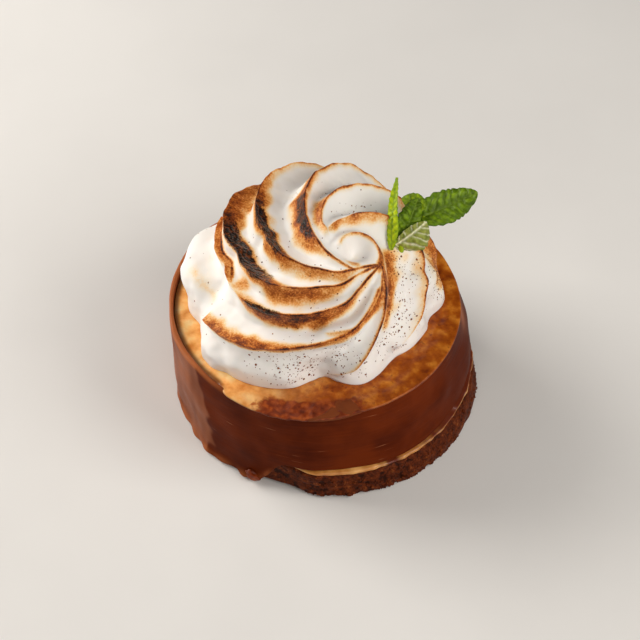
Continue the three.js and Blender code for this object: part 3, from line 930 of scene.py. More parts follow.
def make_drop():
    rise = np.linspace(-0.98, 0.98, DROP_ROWS)[:, None] * math.pi / 2
    yaw = np.linspace(0, 2 * math.pi, DROP_COLUMNS, endpoint=False)[None]
    ball = [np.cos(rise) * np.cos(yaw), np.cos(rise) * np.sin(yaw), np.sin(rise) + 0 * yaw]
    ball = np.stack(ball, axis=-1)
    offset = ball * DROP_HALF * (1 + 0.1 * waves(ball, 1.2, 57)[..., None])
    deg = DROP_AT + np.degrees(offset[..., 0] / BAND_RADIUS_FOOT)
    z = DROP_HEIGHT + offset[..., 2]
    points = on_side(deg, band_radius(z) + offset[..., 1], z)
    skin = capped(points, points[0].mean(axis=0), points[-1].mean(axis=0))
    make_piece("caramel_drop", *skin, GLAZE, "caramel_top", {"deep": 1, "red": 1, "dark": 0.1})


make_drop()

# %% [markdown]
# ## Meringue swirl
# The swirl was piped with a star nozzle while the cake turned: sharp ridges fan out of an off-centre pinch
# and wind down to the foot. The dome is laid out flat, each ridge is a spiral there, and the height over the
# dome falls from every crest to a groove halfway to the next. A point's height is worked out from its
# distance to the nearest ridges, so the ridges can be as uneven as a hand makes them.

# %% Dome and ridges
DOME = np.array([-3.7, 2.7])
DOME_RADIUS = 32
DOME_HEIGHT = 28
DOME_SQUARENESS = 2.2
DOME_ARC = 46
SWIRL_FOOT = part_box("meringue")[0].z / MM
PINCH = np.array([15.3, -11.2])
RIDGE_DEPTH = 5.5
RIDGE_SHARPNESS = 1.7
NEIGHBOUR_POWER = 8
LOBE_FILL = 3.5
FOOT_FADE = 9
FOOT_CREST = 0.4
RIDGE_STEPS = 40
# Reach and angle at both ends, bend, rise at both ends; the curl turns about a place of its own.
RIDGES = {
    "curl": ((4.3, 4.8), (165, -25), 1, (4.5, 4.5)),
    "right": ((13.4, 23), (150, -48), 4.2, (4.5, 1.5)),
    "far right": ((13.7, 34), (152, 15), 0.7, (4.8, 3)),
    "back": ((6.5, 48), (205, 72), 1.35, (4.5, 6.5)),
    "back left": ((0, 51), (206, 80), 0.575, (4.3, 6)),
    "left": ((0, 56), (217, 95), 0.508, (4, 1.5)),
    "low left": ((0, 45), (237, 150), 0.5, (4, 1.8)),
    "minor": ((2, 20), (285, 236), 0.9, (3.8, 3)),
    "front": ((5.9, 46), (266.5, 190), 0.95, (4.8, 4)),
    "front right": ((0, 36), (296, 252), 1.1, (4, 1)),
}
CURL_CENTRE = PINCH + [-5, 2.2]
# How far the foot stands out, at which degree, and half the width of each lobe.
FOOT_LOBES = [(-2.4, 200, 8), (1.2, 236, 16), (1.6, 290, 9), (3.6, 358, 10)]
# Middle, half sizes and height of swellings and dents.
SWELLINGS = [
    (-36, 9, 12, 18, 3),
    (-34, -29, 8, 9, 1.8),
    (5, -43, 5, 7, -1.2),
    (42, -11, 7, 6, -0.8),
    (27.5, -2.6, 7, 6.5, -2.4),
]


def ridge_line(name):
    """Points along a ridge on the dome laid out flat."""
    reach, angle, bend, _ = RIDGES[name]
    t = np.linspace(0, 1, RIDGE_STEPS + 1)
    centre = CURL_CENTRE if name == "curl" else PINCH
    return centre + polar(mix(*reach, t**bend), mix(*angle, t))


RIDGE_LINES = {name: ridge_line(name) for name in RIDGES}
print(len(RIDGES), "ridges")


# %% Distances to the ridges
def to_ridge(flat, line):
    """Distance from flat points to a ridge, side (1 is outer), how far along, and the place on it."""
    best = np.full(len(flat), np.inf)
    side = np.ones(len(flat))
    along = np.zeros(len(flat))
    crest = np.zeros((len(flat), 2))
    for i in range(RIDGE_STEPS):
        step = line[i + 1] - line[i]
        from_start = flat - line[i]
        t = np.clip(from_start @ step / (step @ step), 0, 1)
        away = from_start - t[:, None] * step
        distance = np.hypot(away[:, 0], away[:, 1])
        nearer = distance < best
        best[nearer] = distance[nearer]
        cross = step[0] * from_start[:, 1] - step[1] * from_start[:, 0]
        side[nearer] = np.sign(cross[nearer])
        along[nearer] = (i + t[nearer]) / RIDGE_STEPS
        crest[nearer] = flat[nearer] - away[nearer]
    return best, side, along, crest


def to_ridges(flat):
    found = [to_ridge(flat, line) for line in RIDGE_LINES.values()]
    return [np.array(part) for part in zip(*found)]


middle_distances = to_ridges(np.zeros((1, 2)))[0].ravel()
print("from the middle to each ridge:", middle_distances.round(1).tolist(), "mm")


# %% Height over the dome
def swirl_height(flat, distance, along):
    rise = np.array([mix(*r[3], smooth(0.35, 1, a)) for r, a in zip(RIDGES.values(), along)])
    weight = 1 / (distance + 0.6) ** 3
    level = (weight * rise).sum(0) / weight.sum(0)
    first, *others = np.maximum(np.sort(distance, axis=0), 1e-6)
    spacing = first + (np.array(others) ** -NEIGHBOUR_POWER).sum(0) ** (-1 / NEIGHBOUR_POWER)
    depth = RIDGE_DEPTH * smooth(0, 10, spacing) - LOBE_FILL * smooth(13, 26, spacing)
    fade = mix(FOOT_CREST, 1, smooth(0, FOOT_FADE, DOME_ARC - np.hypot(*flat.T)))
    height = level - depth * (1 - fade * np.maximum(1 - 2 * first / spacing, 0) ** RIDGE_SHARPNESS)
    for x, y, half_x, half_y, swell in SWELLINGS:
        away = np.hypot((flat[:, 0] - x) / half_x, (flat[:, 1] - y) / half_y)
        height = height + swell * (1 - smooth(0.3, 1, away))
    return height


def foot_radius(deg):
    return DOME_RADIUS + sum(add * bell(turn(deg, at), half) for add, at, half in FOOT_LOBES)


def on_dome(flat, height):
    """Points of the swirl from flat places on the dome and heights over it; also the way outwards."""
    reach = np.hypot(*flat.T)
    direction = flat / np.maximum(reach, 1e-9)[:, None]
    angle = np.clip(reach / DOME_ARC, 0, 1) * math.pi / 2
    s = np.sin(angle)
    c = np.clip(np.cos(angle), 0, 1)
    n = DOME_SQUARENESS
    k = (s**n + c**n) ** (-1 / n)
    deg = np.degrees(np.arctan2(flat[:, 1], flat[:, 0]))
    radius = mix(DOME_RADIUS, foot_radius(deg), smooth(0, 0.35, s))
    outward = (k * s) ** (n - 1) / radius
    upward = (k * c) ** (n - 1) / DOME_HEIGHT
    size = np.hypot(outward, upward)
    normal = np.concatenate([direction * (outward / size)[:, None], (upward / size)[:, None]], axis=1)
    base = np.concatenate([DOME + direction * (k * s * radius)[:, None],
                           (SWIRL_FOOT + k * c * DOME_HEIGHT)[:, None]], axis=1)
    return base + normal * np.asarray(height)[:, None], normal


around_foot = foot_radius(DEGREES)
print("foot radius from", round(around_foot.min(), 1), "to", round(around_foot.max(), 1), "mm")

# %% [markdown]
# ## Torch marks
# The torch browned what stood highest. Each crest has a thin dark line; the front ridges are toasted below
# it, and the left ones are charred black on the crest. How strong each mark is along each ridge is written as
# a few stations from the pinch to the foot, and the heat at a point is the strongest mark that reaches it.
# The marks could be painted on an image, but numbers stored on the points need no unwrapping and follow the
# ridges by themselves.

# %% Stations along the ridges
# Share of the way along; heat and width in mm on the outer side; the same on the inner side; char; dark line.
TOAST = {
    "curl": [
        (0, 0.1, 0.6, 0.1, 0.4, 0, 0.25), (0.3, 0.35, 0.8, 0.1, 0.4, 0, 0.5),
        (0.5, 0.55, 1.2, 0.1, 0.4, 0, 0.7), (0.75, 0.55, 1.8, 0.1, 0.4, 0, 0.75),
        (1, 0.55, 2.2, 0.1, 0.4, 0, 0.85),
    ],
    "right": [
        (0, 0.1, 0.6, 0.35, 1, 0, 0.4), (0.15, 0.1, 0.5, 0.42, 1.6, 0, 0.7),
        (0.35, 0.1, 0.5, 0.3, 1.5, 0, 0.75), (0.55, 0.1, 0.5, 0.26, 1.4, 0, 0.8),
        (0.75, 0.08, 0.5, 0.24, 1.6, 0, 0.8), (0.88, 0.05, 0.5, 0.15, 1.2, 0, 0.5),
        (1, 0, 0.5, 0, 1, 0, 0),
    ],
    "far right": [
        (0, 0.3, 1.2, 0.1, 0.5, 0, 0.5), (0.12, 0.5, 2.4, 0.15, 0.6, 0, 0.7),
        (0.3, 0.3, 1.4, 0.15, 0.6, 0, 0.6), (0.5, 0.3, 1.2, 0.15, 0.8, 0, 0.55),
        (0.65, 0.48, 2.8, 0.48, 3.6, 0, 0.7), (0.74, 0.5, 3, 0.5, 4.4, 0, 0.8),
        (0.87, 0.5, 3, 0.48, 4.2, 0, 0.8), (0.94, 0.3, 2, 0.2, 2.5, 0, 0.4),
        (1, 0.1, 2, 0.1, 2, 0, 0.1),
    ],
    "back": [
        (0, 0.08, 0.5, 0.08, 0.4, 0, 0.5), (0.2, 0.12, 0.8, 0.12, 0.5, 0, 0.75),
        (0.3, 0.5, 2.4, 0.3, 0.6, 0.2, 0.85), (0.36, 0.84, 3, 0.45, 0.6, 0.65, 0.9),
        (0.52, 0.84, 3.2, 0.45, 0.8, 0.7, 0.9), (0.6, 0.45, 1.8, 0.4, 1, 0.1, 0.85),
        (0.75, 0.35, 1.5, 0.2, 0.7, 0, 0.5), (1, 0.3, 1.5, 0.2, 0.8, 0, 0.4),
    ],
    "back left": [
        (0, 0.1, 0.6, 0.08, 0.4, 0, 0.6), (0.05, 0.34, 2, 0.1, 0.4, 0, 0.75),
        (0.13, 0.36, 2.8, 0.12, 0.5, 0, 0.8), (0.2, 0.4, 2.2, 0.35, 1, 0.1, 0.9),
        (0.25, 0.55, 2, 0.72, 1.8, 0.7, 0.95), (0.33, 0.5, 1.6, 0.78, 2.2, 1, 0.95),
        (0.42, 0.5, 1.6, 0.75, 2.2, 0.9, 0.95), (0.5, 0.45, 1.4, 0.6, 2, 0.2, 0.85),
        (0.62, 0.3, 1, 0.2, 0.9, 0, 0.45), (1, 0.2, 1, 0.15, 0.8, 0, 0.3),
    ],
    "left": [
        (0, 0.1, 0.6, 0.08, 0.4, 0, 0.65), (0.06, 0.48, 2, 0.1, 0.4, 0, 0.85),
        (0.13, 0.5, 4.8, 0.12, 0.5, 0, 0.9), (0.19, 0.52, 3.6, 0.5, 1.2, 0.2, 0.9),
        (0.24, 0.5, 1.6, 0.72, 2, 0.8, 0.95), (0.32, 0.4, 1, 0.8, 2.8, 1, 0.95),
        (0.46, 0.4, 1, 0.8, 2.8, 1, 0.95), (0.52, 0.4, 1.2, 0.7, 3, 0.3, 0.85),
        (0.56, 0.4, 1.2, 0.6, 3, 0.1, 0.8), (0.68, 0.3, 1.2, 0.5, 2.5, 0, 0.5),
        (1, 0.2, 1, 0.2, 1, 0, 0.2),
    ],
    "low left": [
        (0, 0.1, 0.6, 0.08, 0.4, 0, 0.65), (0.06, 0.5, 1.8, 0.1, 0.4, 0, 0.85),
        (0.15, 0.66, 3, 0.12, 0.5, 0.1, 0.9), (0.33, 0.74, 3.4, 0.2, 0.7, 0.4, 0.95),
        (0.4, 0.68, 3, 0.4, 1, 1, 0.95), (0.48, 0.55, 2.2, 0.42, 1.4, 0.6, 0.8),
        (0.54, 0.1, 1, 0.2, 1.2, 0, 0.1), (0.585, 0.05, 1, 0.1, 1, 0, 0.05),
        (0.64, 0.38, 2.2, 0.2, 0.8, 0, 0.8), (0.9, 0.48, 2.6, 0.25, 0.9, 0.1, 0.95),
        (1, 0.5, 2.6, 0.25, 0.9, 0.1, 0.85),
    ],
    "minor": [
        (0, 0.35, 1, 0.1, 0.4, 0, 0.6), (0.3, 0.5, 1.6, 0.1, 0.4, 0, 0.7),
        (0.6, 0.48, 1.4, 0.1, 0.4, 0, 0.55), (1, 0.25, 1, 0.1, 0.4, 0, 0.15),
    ],
    "front": [
        (0, 0.4, 1.2, 0.1, 0.4, 0, 0.5), (0.2, 0.5, 1.7, 0.1, 0.4, 0, 0.75),
        (0.42, 0.42, 1.5, 0.15, 0.5, 0, 0.8), (0.58, 0.5, 1.3, 0.42, 1, 0, 0.75),
        (0.7, 0.6, 1.4, 0.58, 1.7, 0, 0.65), (0.92, 0.62, 1.5, 0.6, 1.9, 0, 0.6),
        (1, 0.5, 1.2, 0.45, 1.5, 0, 0.4),
    ],
    "front right": [
        (0, 0.4, 1.2, 0.08, 0.4, 0, 0.65), (0.08, 0.58, 3.2, 0.1, 0.4, 0, 0.85),
        (0.25, 0.58, 3.6, 0.1, 0.5, 0, 0.85), (0.42, 0.45, 2.2, 0.1, 0.5, 0, 0.8),
        (0.6, 0.3, 1.4, 0.1, 0.5, 0, 0.65), (0.75, 0.12, 0.8, 0.05, 0.5, 0, 0.3),
        (1, 0, 0.5, 0, 0.5, 0, 0),
    ],
}
print(sum(len(stations) for stations in TOAST.values()), "stations on", len(TOAST), "ridges")

# %% Heat and char
# Both ends on the flat dome, radius in mm and heat of browned strips away from the crests.
TOAST_STRIPS = [
    ((9, -11.9), (9.5, -11.9), 1.1, 0.42),
    ((34.5, 10.8), (40, 4.6), 3, 0.5),
    ((36, 4), (39.6, 0.8), 2.6, 0.44),
    ((33, 1.8), (36.5, -1.6), 2.2, 0.42),
    ((19.6, -6), (21, -13), 2.6, 0.54),
    ((21, -13), (21.8, -19), 2.4, 0.54),
    ((21.8, -19), (22.2, -24), 1.6, 0.42),
    ((-18.5, 13.4), (-18, 13.4), 4.5, 0.42),
    ((-17, -14.6), (-16.5, -14.6), 1.7, 0.4),
    ((-33.5, -2), (-33, -8), 1.5, 0.14),
    ((-33, -8), (-32, -13), 1.4, 0.14),
]
LINE_WIDTH = 0.34
# The lower end of the low left ridge is browned beside its crest, this far on its inner side.
LINE_SHIFT = 1.2
# Half width in mm of the char on a ridge, and how far it lies to the outer side of the crest.
CHAR = {"left": (1.9, -0.9), "back left": (1.5, -0.5), "back": (1.1, 1.1), "low left": (0.9, 0)}


def torch_marks(flat, points, distance, side, along):
    """Heat and char at places on the swirl."""
    patchy = waves(points, 4.5, 61) * 0.6
    uneven = 1 + 0.15 * patchy
    heat = np.zeros(len(flat))
    char = np.zeros(len(flat))
    for name, d, s, t in zip(RIDGES, distance, side, along):
        if name == "low left":
            off = s * d + LINE_SHIFT * smooth(0.58, 0.66, t)
            d = np.abs(off)
            s = np.sign(off)
        shares, *marks = np.array(TOAST[name]).T
        outer, outer_width, inner, inner_width, burn, line = [np.interp(t, shares, mark) for mark in marks]
        strength = np.where(s > 0, outer, inner)
        width = np.where(s > 0, outer_width, inner_width) * uneven
        mark = strength * (1 - smooth(0.2, 1.5, d / width))
        crest = line * (0.9 + 0.15 * patchy) * bell(d, LINE_WIDTH)
        heat = np.maximum(heat, np.maximum(mark, crest))
        if name in CHAR:
            black_width, outwards = CHAR[name]
            off = np.abs(s * d - outwards) / (black_width * uneven)
            char = np.maximum(char, burn * (1 - smooth(0.3, 1.3, off)))
    for start, end, radius, warm in TOAST_STRIPS:
        step = np.subtract(end, start)
        share = np.clip((flat - start) @ step / (step @ step), 0, 1)
        away = np.linalg.norm(flat - start - share[:, None] * step, axis=1)
        heat = np.maximum(heat, warm * bell(away * (1 + 0.3 * patchy), radius))
    return np.clip(heat * (1 + 0.12 * patchy), 0, 1), np.clip(char, 0, 1)


print(len(TOAST_STRIPS), "strips away from the crests, char on", sorted(CHAR))

# %% Meringue finish
def meringue_finish():
    finish = Finish("torched_meringue", {
        "Specular IOR Level": 0.2,
        "Subsurface Weight": 0.2,
        "Subsurface Radius": (1, 0.85, 0.7),
        "Subsurface Scale": 1.5 * MM,
        "Coat Roughness": 0.2,
    })
    heat = finish.field("toast")
    char = finish.field("char")
    patch = finish.noise(2.2, 4)
    grain = finish.noise(0.5, 3)
    mottle = (patch - 0.5) * 1.1 + (grain - 0.5) * 1.3
    toasted = finish.ramp(
        heat * (mottle + 1),
        (0, 247, 244, 241),
        (0.1, 247, 234, 216),
        (0.2, 246, 212, 162),
        (0.33, 232, 164, 88),
        (0.47, 194, 110, 42),
        (0.64, 136, 64, 18),
        (0.82, 72, 29, 14),
        (1, 34, 22, 22),
    )
    bubbles = finish.cells(0.95)
    black = (char * (mottle * 1.3 + 1)).over(0.3, 0.8)
    soot = finish.ramp(bubbles, (0.3, 20, 13, 13), (0.55, 22, 11, 8), (0.85, 112, 54, 20))
    finish.give("Base Color", finish.blend(black, toasted, soot))
    finish.give("Roughness", 0.5 - black * 0.22)
    finish.give("Coat Weight", black * 0.1)
    finish.bump(grain * (heat * 0.5 + 0.15) - bubbles * black * 1.8, 0.22, 0.6)
    return finish.done()


MERINGUE = meringue_finish()

# %% Grid of the swirl
SWIRL_RINGS = 200
SWIRL_SPOKES = 496
GRID_TWIST = 190
GATHER_WIDTH = 5
GATHER_POWER = 1.5


def swirl_grid():
    """Flat places on circles that widen from the pinch to the foot, turning as the ridges do."""
    u = (np.arange(1, SWIRL_RINGS + 1)[:, None] / SWIRL_RINGS) ** 0.9
    deg = 360 * np.arange(SWIRL_SPOKES)[None] / SWIRL_SPOKES - GRID_TWIST * u
    return (PINCH * (1 - u[..., None]) + polar(DOME_ARC * u, deg)).reshape(-1, 2)


def gather(flat):
    """Draws places in towards the nearest crest, so that the mesh has edges along the crests."""
    distance, _, _, crest = to_ridges(flat)
    order = np.argsort(distance, axis=0)
    picked = np.arange(len(flat))
    near = distance[order[0], picked]
    width = np.minimum(GATHER_WIDTH, 0.48 * (near + distance[order[1], picked]))
    share = np.clip(near / np.maximum(width, 1e-6), 0, 1) ** (GATHER_POWER - 1)
    share[width < 0.5] = 1
    place = crest[order[0], picked]
    return place + (flat - place) * share[:, None]


print("swirl grid:", SWIRL_RINGS, "rings of", SWIRL_SPOKES, "points")


# %% The piped swirl
def swirl_surface(flat):
    """Points of the swirl, and the heat and char on them."""
    distance, side, along, _ = to_ridges(flat)
    points, outward = on_dome(flat, swirl_height(flat, distance, along))
    heat, char = torch_marks(flat, points, distance, side, along)
    soft = 0.16 * waves(points, 9, 63) + 0.07 * waves(points, 3.6, 64)
    blister = 0.06 * char * waves(points, 2.4, 65, 40)
    crust = 0.04 * heat * waves(points, 2, 67, 30)
    foot = smooth(0, 3, DOME_ARC - np.hypot(*flat.T))
    return points + outward * ((soft + blister + crust) * foot)[:, None], heat, char


def make_swirl():
    flat = gather(swirl_grid())
    rim = flat[-SWIRL_SPOKES:]
    flat[-SWIRL_SPOKES:] = rim * (DOME_ARC / np.hypot(rim[:, 0], rim[:, 1]))[:, None]
    flat = np.concatenate([flat, [PINCH]])
    points, heat, char = swirl_surface(flat)
    count = SWIRL_RINGS * SWIRL_SPOKES
    points = np.concatenate([points, [[*DOME, SWIRL_FOOT]]])
    faces = [
        ring_faces(SWIRL_RINGS, SWIRL_SPOKES)[:, ::-1],
        fan_faces(0, SWIRL_SPOKES, count),
        fan_faces(count - SWIRL_SPOKES, SWIRL_SPOKES, count + 1, flip=True),
    ]
    fields = {"toast": heat, "char": char}
    make_piece("swirl", points, faces, MERINGUE, "meringue", fields, "meringue")
    browned = float((heat > 0.2).mean())
    charred = float((char > 0.3).mean())
    print("browned share", round(browned, 3), "charred", round(charred, 3))


make_swirl()

# %% [markdown]
# ## Cocoa specks
# A pinch of cocoa was dusted over the right and front of the swirl. Each speck is a small flake pressed on
# the surface; how many fall where is set by a few soft circles on the dome laid out flat. A particle system
# could strew them too, but places drawn from a fixed seed stay put when something else changes.

# %% Cocoa finish
def cocoa_finish():
    finish = Finish("cocoa", {"Roughness": 0.85, "Specular IOR Level": 0.2})
    finish.give("Base Color", finish.ramp(finish.noise(0.6, 2), (0.35, 84, 40, 20), (0.65, 150, 88, 48)))
    return finish.done()


COCOA = cocoa_finish()

# %% Dust the swirl
SPECKS = 1200
SPECK_TRIES = 40000
SPECK_SIZE = 0.32
SPECK_SPREAD = 0.42
SPECK_LEAST = 0.16
SPECK_MOST = 0.72
SPECK_FLAT = 0.45
SPECK_SINK = 0.1
SPECK_RIM = 1.5
SPECK_SELDOM = 0.015
SLOPE_STEP = 0.05
# Flat place, radius in mm and weight of the dusted patches.
DUSTED = [
    (24.5, -7, 6, 1), (27, -17, 6, 1), (27.5, -26, 6, 0.9), (38, 1, 6, 1), (10, -35, 7, 1), (-4, -40, 9, 1),
    (-17, -35, 6, 0.3), (5, -22, 9, 0.25), (10, 8, 8, 0.25), (17, 5, 5, 0.7), (-5, -4, 16, 0.07),
]


def make_specks():
    draw = np.random.default_rng(71)
    flat = draw.uniform(-DOME_ARC, DOME_ARC, (SPECK_TRIES, 2))
    flat = flat[np.hypot(*flat.T) < DOME_ARC - SPECK_RIM]
    weight = np.full(len(flat), SPECK_SELDOM)
    for x, y, radius, share in DUSTED:
        weight = np.maximum(weight, share * bell(np.hypot(flat[:, 0] - x, flat[:, 1] - y), radius))
    flat = flat[draw.random(len(flat)) < weight][:SPECKS]
    steps = np.array([[0, 0], [SLOPE_STEP, 0], [0, SLOPE_STEP]])
    points, right, ahead = [swirl_surface(flat + step)[0] for step in steps]
    normals = unit(np.cross(right - points, ahead - points))
    sizes = draw.lognormal(math.log(SPECK_SIZE), SPECK_SPREAD, len(flat)).clip(SPECK_LEAST, SPECK_MOST)
    balls = scatter(points, normals, sizes, SPECK_FLAT, SPECK_SINK, 72)
    make_piece("cocoa_specks", *balls, COCOA, "chocolate", {})


make_specks()

# %% [markdown]
# ## Mint sprig
# Five leaves on one stem: a narrow one seen edge on, a broad one reaching out to the right, two dark ones
# between them, and one turned over so that its pale underside and veins show. A leaf is a thin skin with two
# faces, saw-toothed at the edge and quilted between its side veins. A flat card would look thin from the
# side, so veins, puffs and teeth are all worked out along the leaf and shape its points.

# %% Mint finish
def mint_finish():
    finish = Finish("mint_leaf", {
        "Specular IOR Level": 0.25,
        "Subsurface Weight": 0.15,
        "Subsurface Radius": (0.6, 1, 0.1),
        "Subsurface Scale": 1.0 * MM,
    })
    vein = finish.field("vein")
    bright = finish.field("bright")
    pale = finish.field("pale")
    # Lighter on the puffs between the veins: a painted highlight on their raised faces.
    cloud = finish.noise(1.6, 4) * 0.5 + finish.field("puff") * 0.25 + 0.12
    dark = finish.ramp(cloud, (0.3, 34, 58, 0), (0.5, 70, 102, 4), (0.66, 112, 146, 22))
    light = finish.ramp(cloud, (0.3, 110, 146, 0), (0.6, 186, 208, 12))
    under = finish.ramp(cloud, (0.3, 88, 102, 20), (0.6, 150, 158, 70))
    green = finish.blend(bright, dark, light)
    green = finish.blend(pale, green, under)
    vein_tone = finish.blend(pale, srgb(136, 164, 48), srgb(238, 238, 200))
    shown = vein * (0.55 + pale * 0.45)
    finish.give("Base Color", finish.blend(shown, green, vein_tone))
    finish.give("Roughness", 0.42 + cloud * 0.2)
    finish.bump(finish.noise(0.7, 3), 0.12, 0.5)
    return finish.done()


MINT = mint_finish()

# %% Leaves and their places
SPRIG = np.array([19.6, 0.3, 52.6])
EYE_RIGHT = np.array([1, 0, 0])
EYE_UP = np.array([0, math.sin(tilt), math.cos(tilt)])
EYEWARD = np.array([0, -math.cos(tilt), math.sin(tilt)])
LEAF_THICKNESS = 0.45
LEAF_ROWS = 73
LEAF_COLUMNS = 33
VEIN_SPACING = 2.1
# Base and tip (right, up, towards the eye) from the sprig's foot, facing, width, fold, bow, swell, taper,
# share of the left half, bright, pale.
LEAVES = [
    ((-2.4, -0.4, 1.8), (-1.15, 18.6, 2.6), (-0.6, 0.1, 0.79), 3.8, 14, 0.02, 0.7, 0.85, 1, 1, 0),
    ((4.2, 7.7, 0.2), (20.2, 14.8, -1), (-0.1, 0.35, 0.93), 9.8, 14, -0.04, 0.85, 0.55, 1, 0.12, 0),
    ((-1.5, 0.9, 1.8), (6.6, 7, 3.4), (0.15, -0.35, 0.93), 12.6, -12, 0.06, 0.95, 0.6, 0.3, 0, 1),
    ((-0.7, 0.6, 0.7), (4.6, 13.4, 1.4), (0.3, -0.1, 0.93), 7.4, 8, 0.04, 0.8, 0.7, 1, 0.1, 0),
    ((6.6, 11, 0.2), (0.2, 13.2, 0.9), (-0.1, 0.2, 0.97), 5.2, 10, 0.04, 0.8, 0.6, 1, 0.4, 0),
]


def from_eye(offset):
    return offset[0] * EYE_RIGHT + offset[1] * EYE_UP + offset[2] * EYEWARD


lengths = [math.dist(leaf[0], leaf[1]) for leaf in LEAVES]
print("leaves of", [round(length, 1) for length in lengths], "mm")

# %% One leaf
TOOTH = 0.1
QUILT = 0.32
GROOVE = 0.16
VEIN_SLANT = 0.6
VEIN_WIDTH = 0.22
MIDRIB_WIDTH = 0.3
VEIN_OFFSET = 0.4
LEAST_HALF = 0.25
CURL_DOWN = 0.12
RUFFLE = 0.4


def leaf_mesh(base, tip, facing, width, fold, bow, swell, taper, share, seed):
    """Points of the two faces of a leaf, and how strong its veins and the puffs between them are."""
    start = SPRIG + from_eye(base)
    along = from_eye(tip) - from_eye(base)
    length = np.linalg.norm(along)
    along = along / length
    across = unit(np.cross(from_eye(facing), along))
    face = np.cross(along, across)
    t = np.linspace(0, 1, LEAF_ROWS)[:, None]
    s = np.linspace(-1, 1, LEAF_COLUMNS)[None]
    s = np.where(s > 0, s * share, s)
    aside = np.abs(s)
    half = np.maximum(width / 2 * np.clip(np.sin(math.pi * t**swell), 0, 1) ** taper, LEAST_HALF)
    plane = np.stack([t * length + 0 * s, s * half], axis=-1)
    wander = waves(plane, 5, seed)
    offset = VEIN_OFFSET * (s > 0)
    rank = (t * length - aside * half * VEIN_SLANT) / VEIN_SPACING + 0.14 * wander + offset
    phase = rank - np.floor(rank)
    side_vein = bell(np.minimum(phase, 1 - phase) * VEIN_SPACING, VEIN_WIDTH) * smooth(0.04, 0.2, aside)
    midrib = bell(s * half, MIDRIB_WIDTH)
    edge_rank = (t * length - half * VEIN_SLANT) / VEIN_SPACING + 0.25 * wander[:, :1] + offset
    tooth = np.sin(math.pi * (edge_rank - np.floor(edge_rank)) ** 0.7) - 0.6
    tooth = TOOTH * tooth * smooth(0.08, 0.2, t) * (1 - smooth(0.9, 1, t)) * smooth(2, 8, width)
    half = half * (1 + tooth * aside**5)
    puff = np.sin(math.pi * phase) ** 0.8 * np.clip(4 * aside * (1 - aside), 0, 1) ** 0.6
    puff = puff * np.sqrt(half / (width / 2)) * (1 + 0.25 * waves(plane, 2.2, seed + 1))
    lean = math.radians(fold)
    lift = aside * half * math.sin(lean) + bow * length * np.sin(math.pi * t)
    lift = lift + 0.08 * waves(plane, 1.1, seed + 2)
    quilted = QUILT * puff - GROOVE * np.maximum(side_vein, midrib)
    lift = lift + quilted * smooth(2, 8, width) - CURL_DOWN * half * aside**3
    lift = lift + RUFFLE * np.sin(8 * t + 2.5 * s + seed) * aside
    middle = start + along * (t * length)[..., None] + across * (s * half * math.cos(lean))[..., None]
    middle = middle + face * lift[..., None]
    thick = face * (LEAF_THICKNESS / 2 * (1 - 0.6 * aside**3))[..., None]
    skin = np.concatenate([middle + thick, middle - thick]).reshape(-1, 3)
    vein = np.clip(np.maximum(0.8 * side_vein, midrib), 0, 1)
    return skin, vein.ravel(), np.clip(puff, 0, 1).ravel()


# The leaf's rows run the other way round than the tongue's, so each face is turned over.
LEAF_FACES = sheet_faces(LEAF_ROWS, LEAF_COLUMNS)[:, [0, 3, 2, 1]]
print("a leaf has", len(LEAF_FACES), "faces")

# %% Stalks and the sprig
STALK_RADIUS = 0.45
STALK_REACH = 0.12
STEM_RADIUS = 1.1
STEM_DEPTH = 4
STEM_TOP = 2
TUBE_SIDES = 14
TUBE_ROWS = 6
TUBE_TAPER = 0.3
STALK_LOOK = {"vein": 0, "puff": 0.5, "bright": 0.8, "pale": 0}
UNDERSIDE_VEIN = 0.7


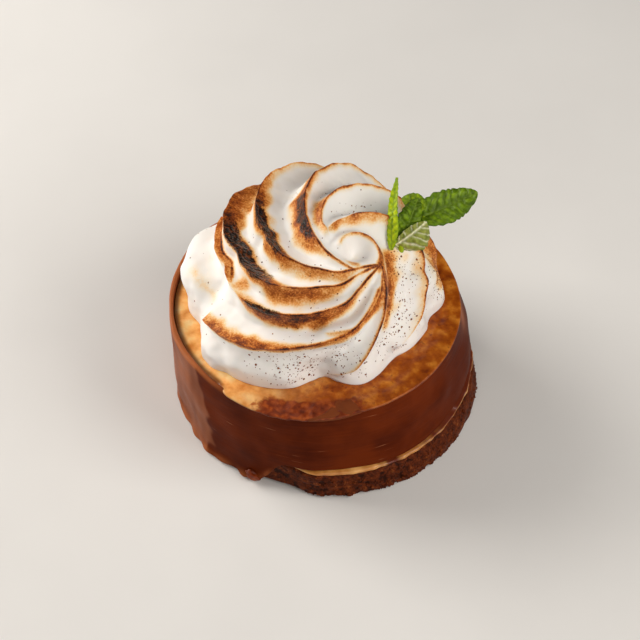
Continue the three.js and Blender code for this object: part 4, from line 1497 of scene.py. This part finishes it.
def tube_mesh(start, end, radius):
    """Points and faces of a closed straight stalk, a little thinner at its end."""
    along = unit(end - start)
    first = unit(np.cross(along, [0.3, 0.9, 0.1]))
    second = np.cross(along, first)
    a = np.arange(TUBE_SIDES) * 2 * math.pi / TUBE_SIDES
    spoke = np.cos(a)[:, None] * first + np.sin(a)[:, None] * second
    shares = np.linspace(0, 1, TUBE_ROWS)
    rows = [start + (end - start) * t + spoke * radius * (1 - TUBE_TAPER * t) for t in shares]
    return capped(np.array(rows), start, end)


def make_sprig():
    points = []
    faces = []
    fields = {"vein": [], "puff": [], "bright": [], "pale": []}

    def add(some_points, some_faces, **values):
        start = sum(len(p) for p in points)
        points.append(some_points)
        faces.extend(f + start for f in some_faces)
        for name, value in values.items():
            fields[name].append(np.broadcast_to(value, len(some_points)))

    for number, (*shape, bright, pale) in enumerate(LEAVES):
        skin, vein, puff = leaf_mesh(*shape, 81 + 3 * number)
        both_veins = np.concatenate([vein, UNDERSIDE_VEIN * vein])
        add(skin, [LEAF_FACES], vein=both_veins, puff=np.tile(puff, 2), bright=bright, pale=pale)
        base, tip = from_eye(shape[0]), from_eye(shape[1])
        inside = base + STALK_REACH * (tip - base)
        add(*tube_mesh(SPRIG, SPRIG + inside, STALK_RADIUS), **STALK_LOOK)
    stem = tube_mesh(SPRIG - [0, 0, STEM_DEPTH], SPRIG + [0, 0, STEM_TOP], STEM_RADIUS)
    add(*stem, **STALK_LOOK)
    fields = {name: np.concatenate(values) for name, values in fields.items()}
    make_piece("mint_leaves", np.concatenate(points), faces, MINT, "mint", fields, "mint_sprig")


make_sprig()

# %% [markdown]
# ## Floor
# A plain pale floor takes the soft shadow of the cake. One square face is enough, and it is not attached to
# the cake, so it is no part of it.

# %% Lay the floor
FLOOR_HALF = 1500
FLOOR_STOPS = [(0.3, (0.76, 0.75, 0.74, 1)), (0.7, (0.8, 0.79, 0.78, 1))]


def floor_finish():
    finish = Finish("pale_floor", {"Roughness": 0.9, "Specular IOR Level": 0.1})
    tone = finish.node("ShaderNodeValToRGB", {"stops": FLOOR_STOPS}, {0: finish.noise(60, 3)})
    finish.give("Base Color", tone)
    return finish.done()


floor_mesh = bpy.data.meshes.new("floor")
corners = [(x * FLOOR_HALF * MM, y * FLOOR_HALF * MM, 0) for x, y in ((-1, -1), (1, -1), (1, 1), (-1, 1))]
floor_mesh.from_pydata(corners, [], [(0, 1, 2, 3)])
floor_mesh.materials.append(floor_finish().material)
floor = add_object("floor", floor_mesh)
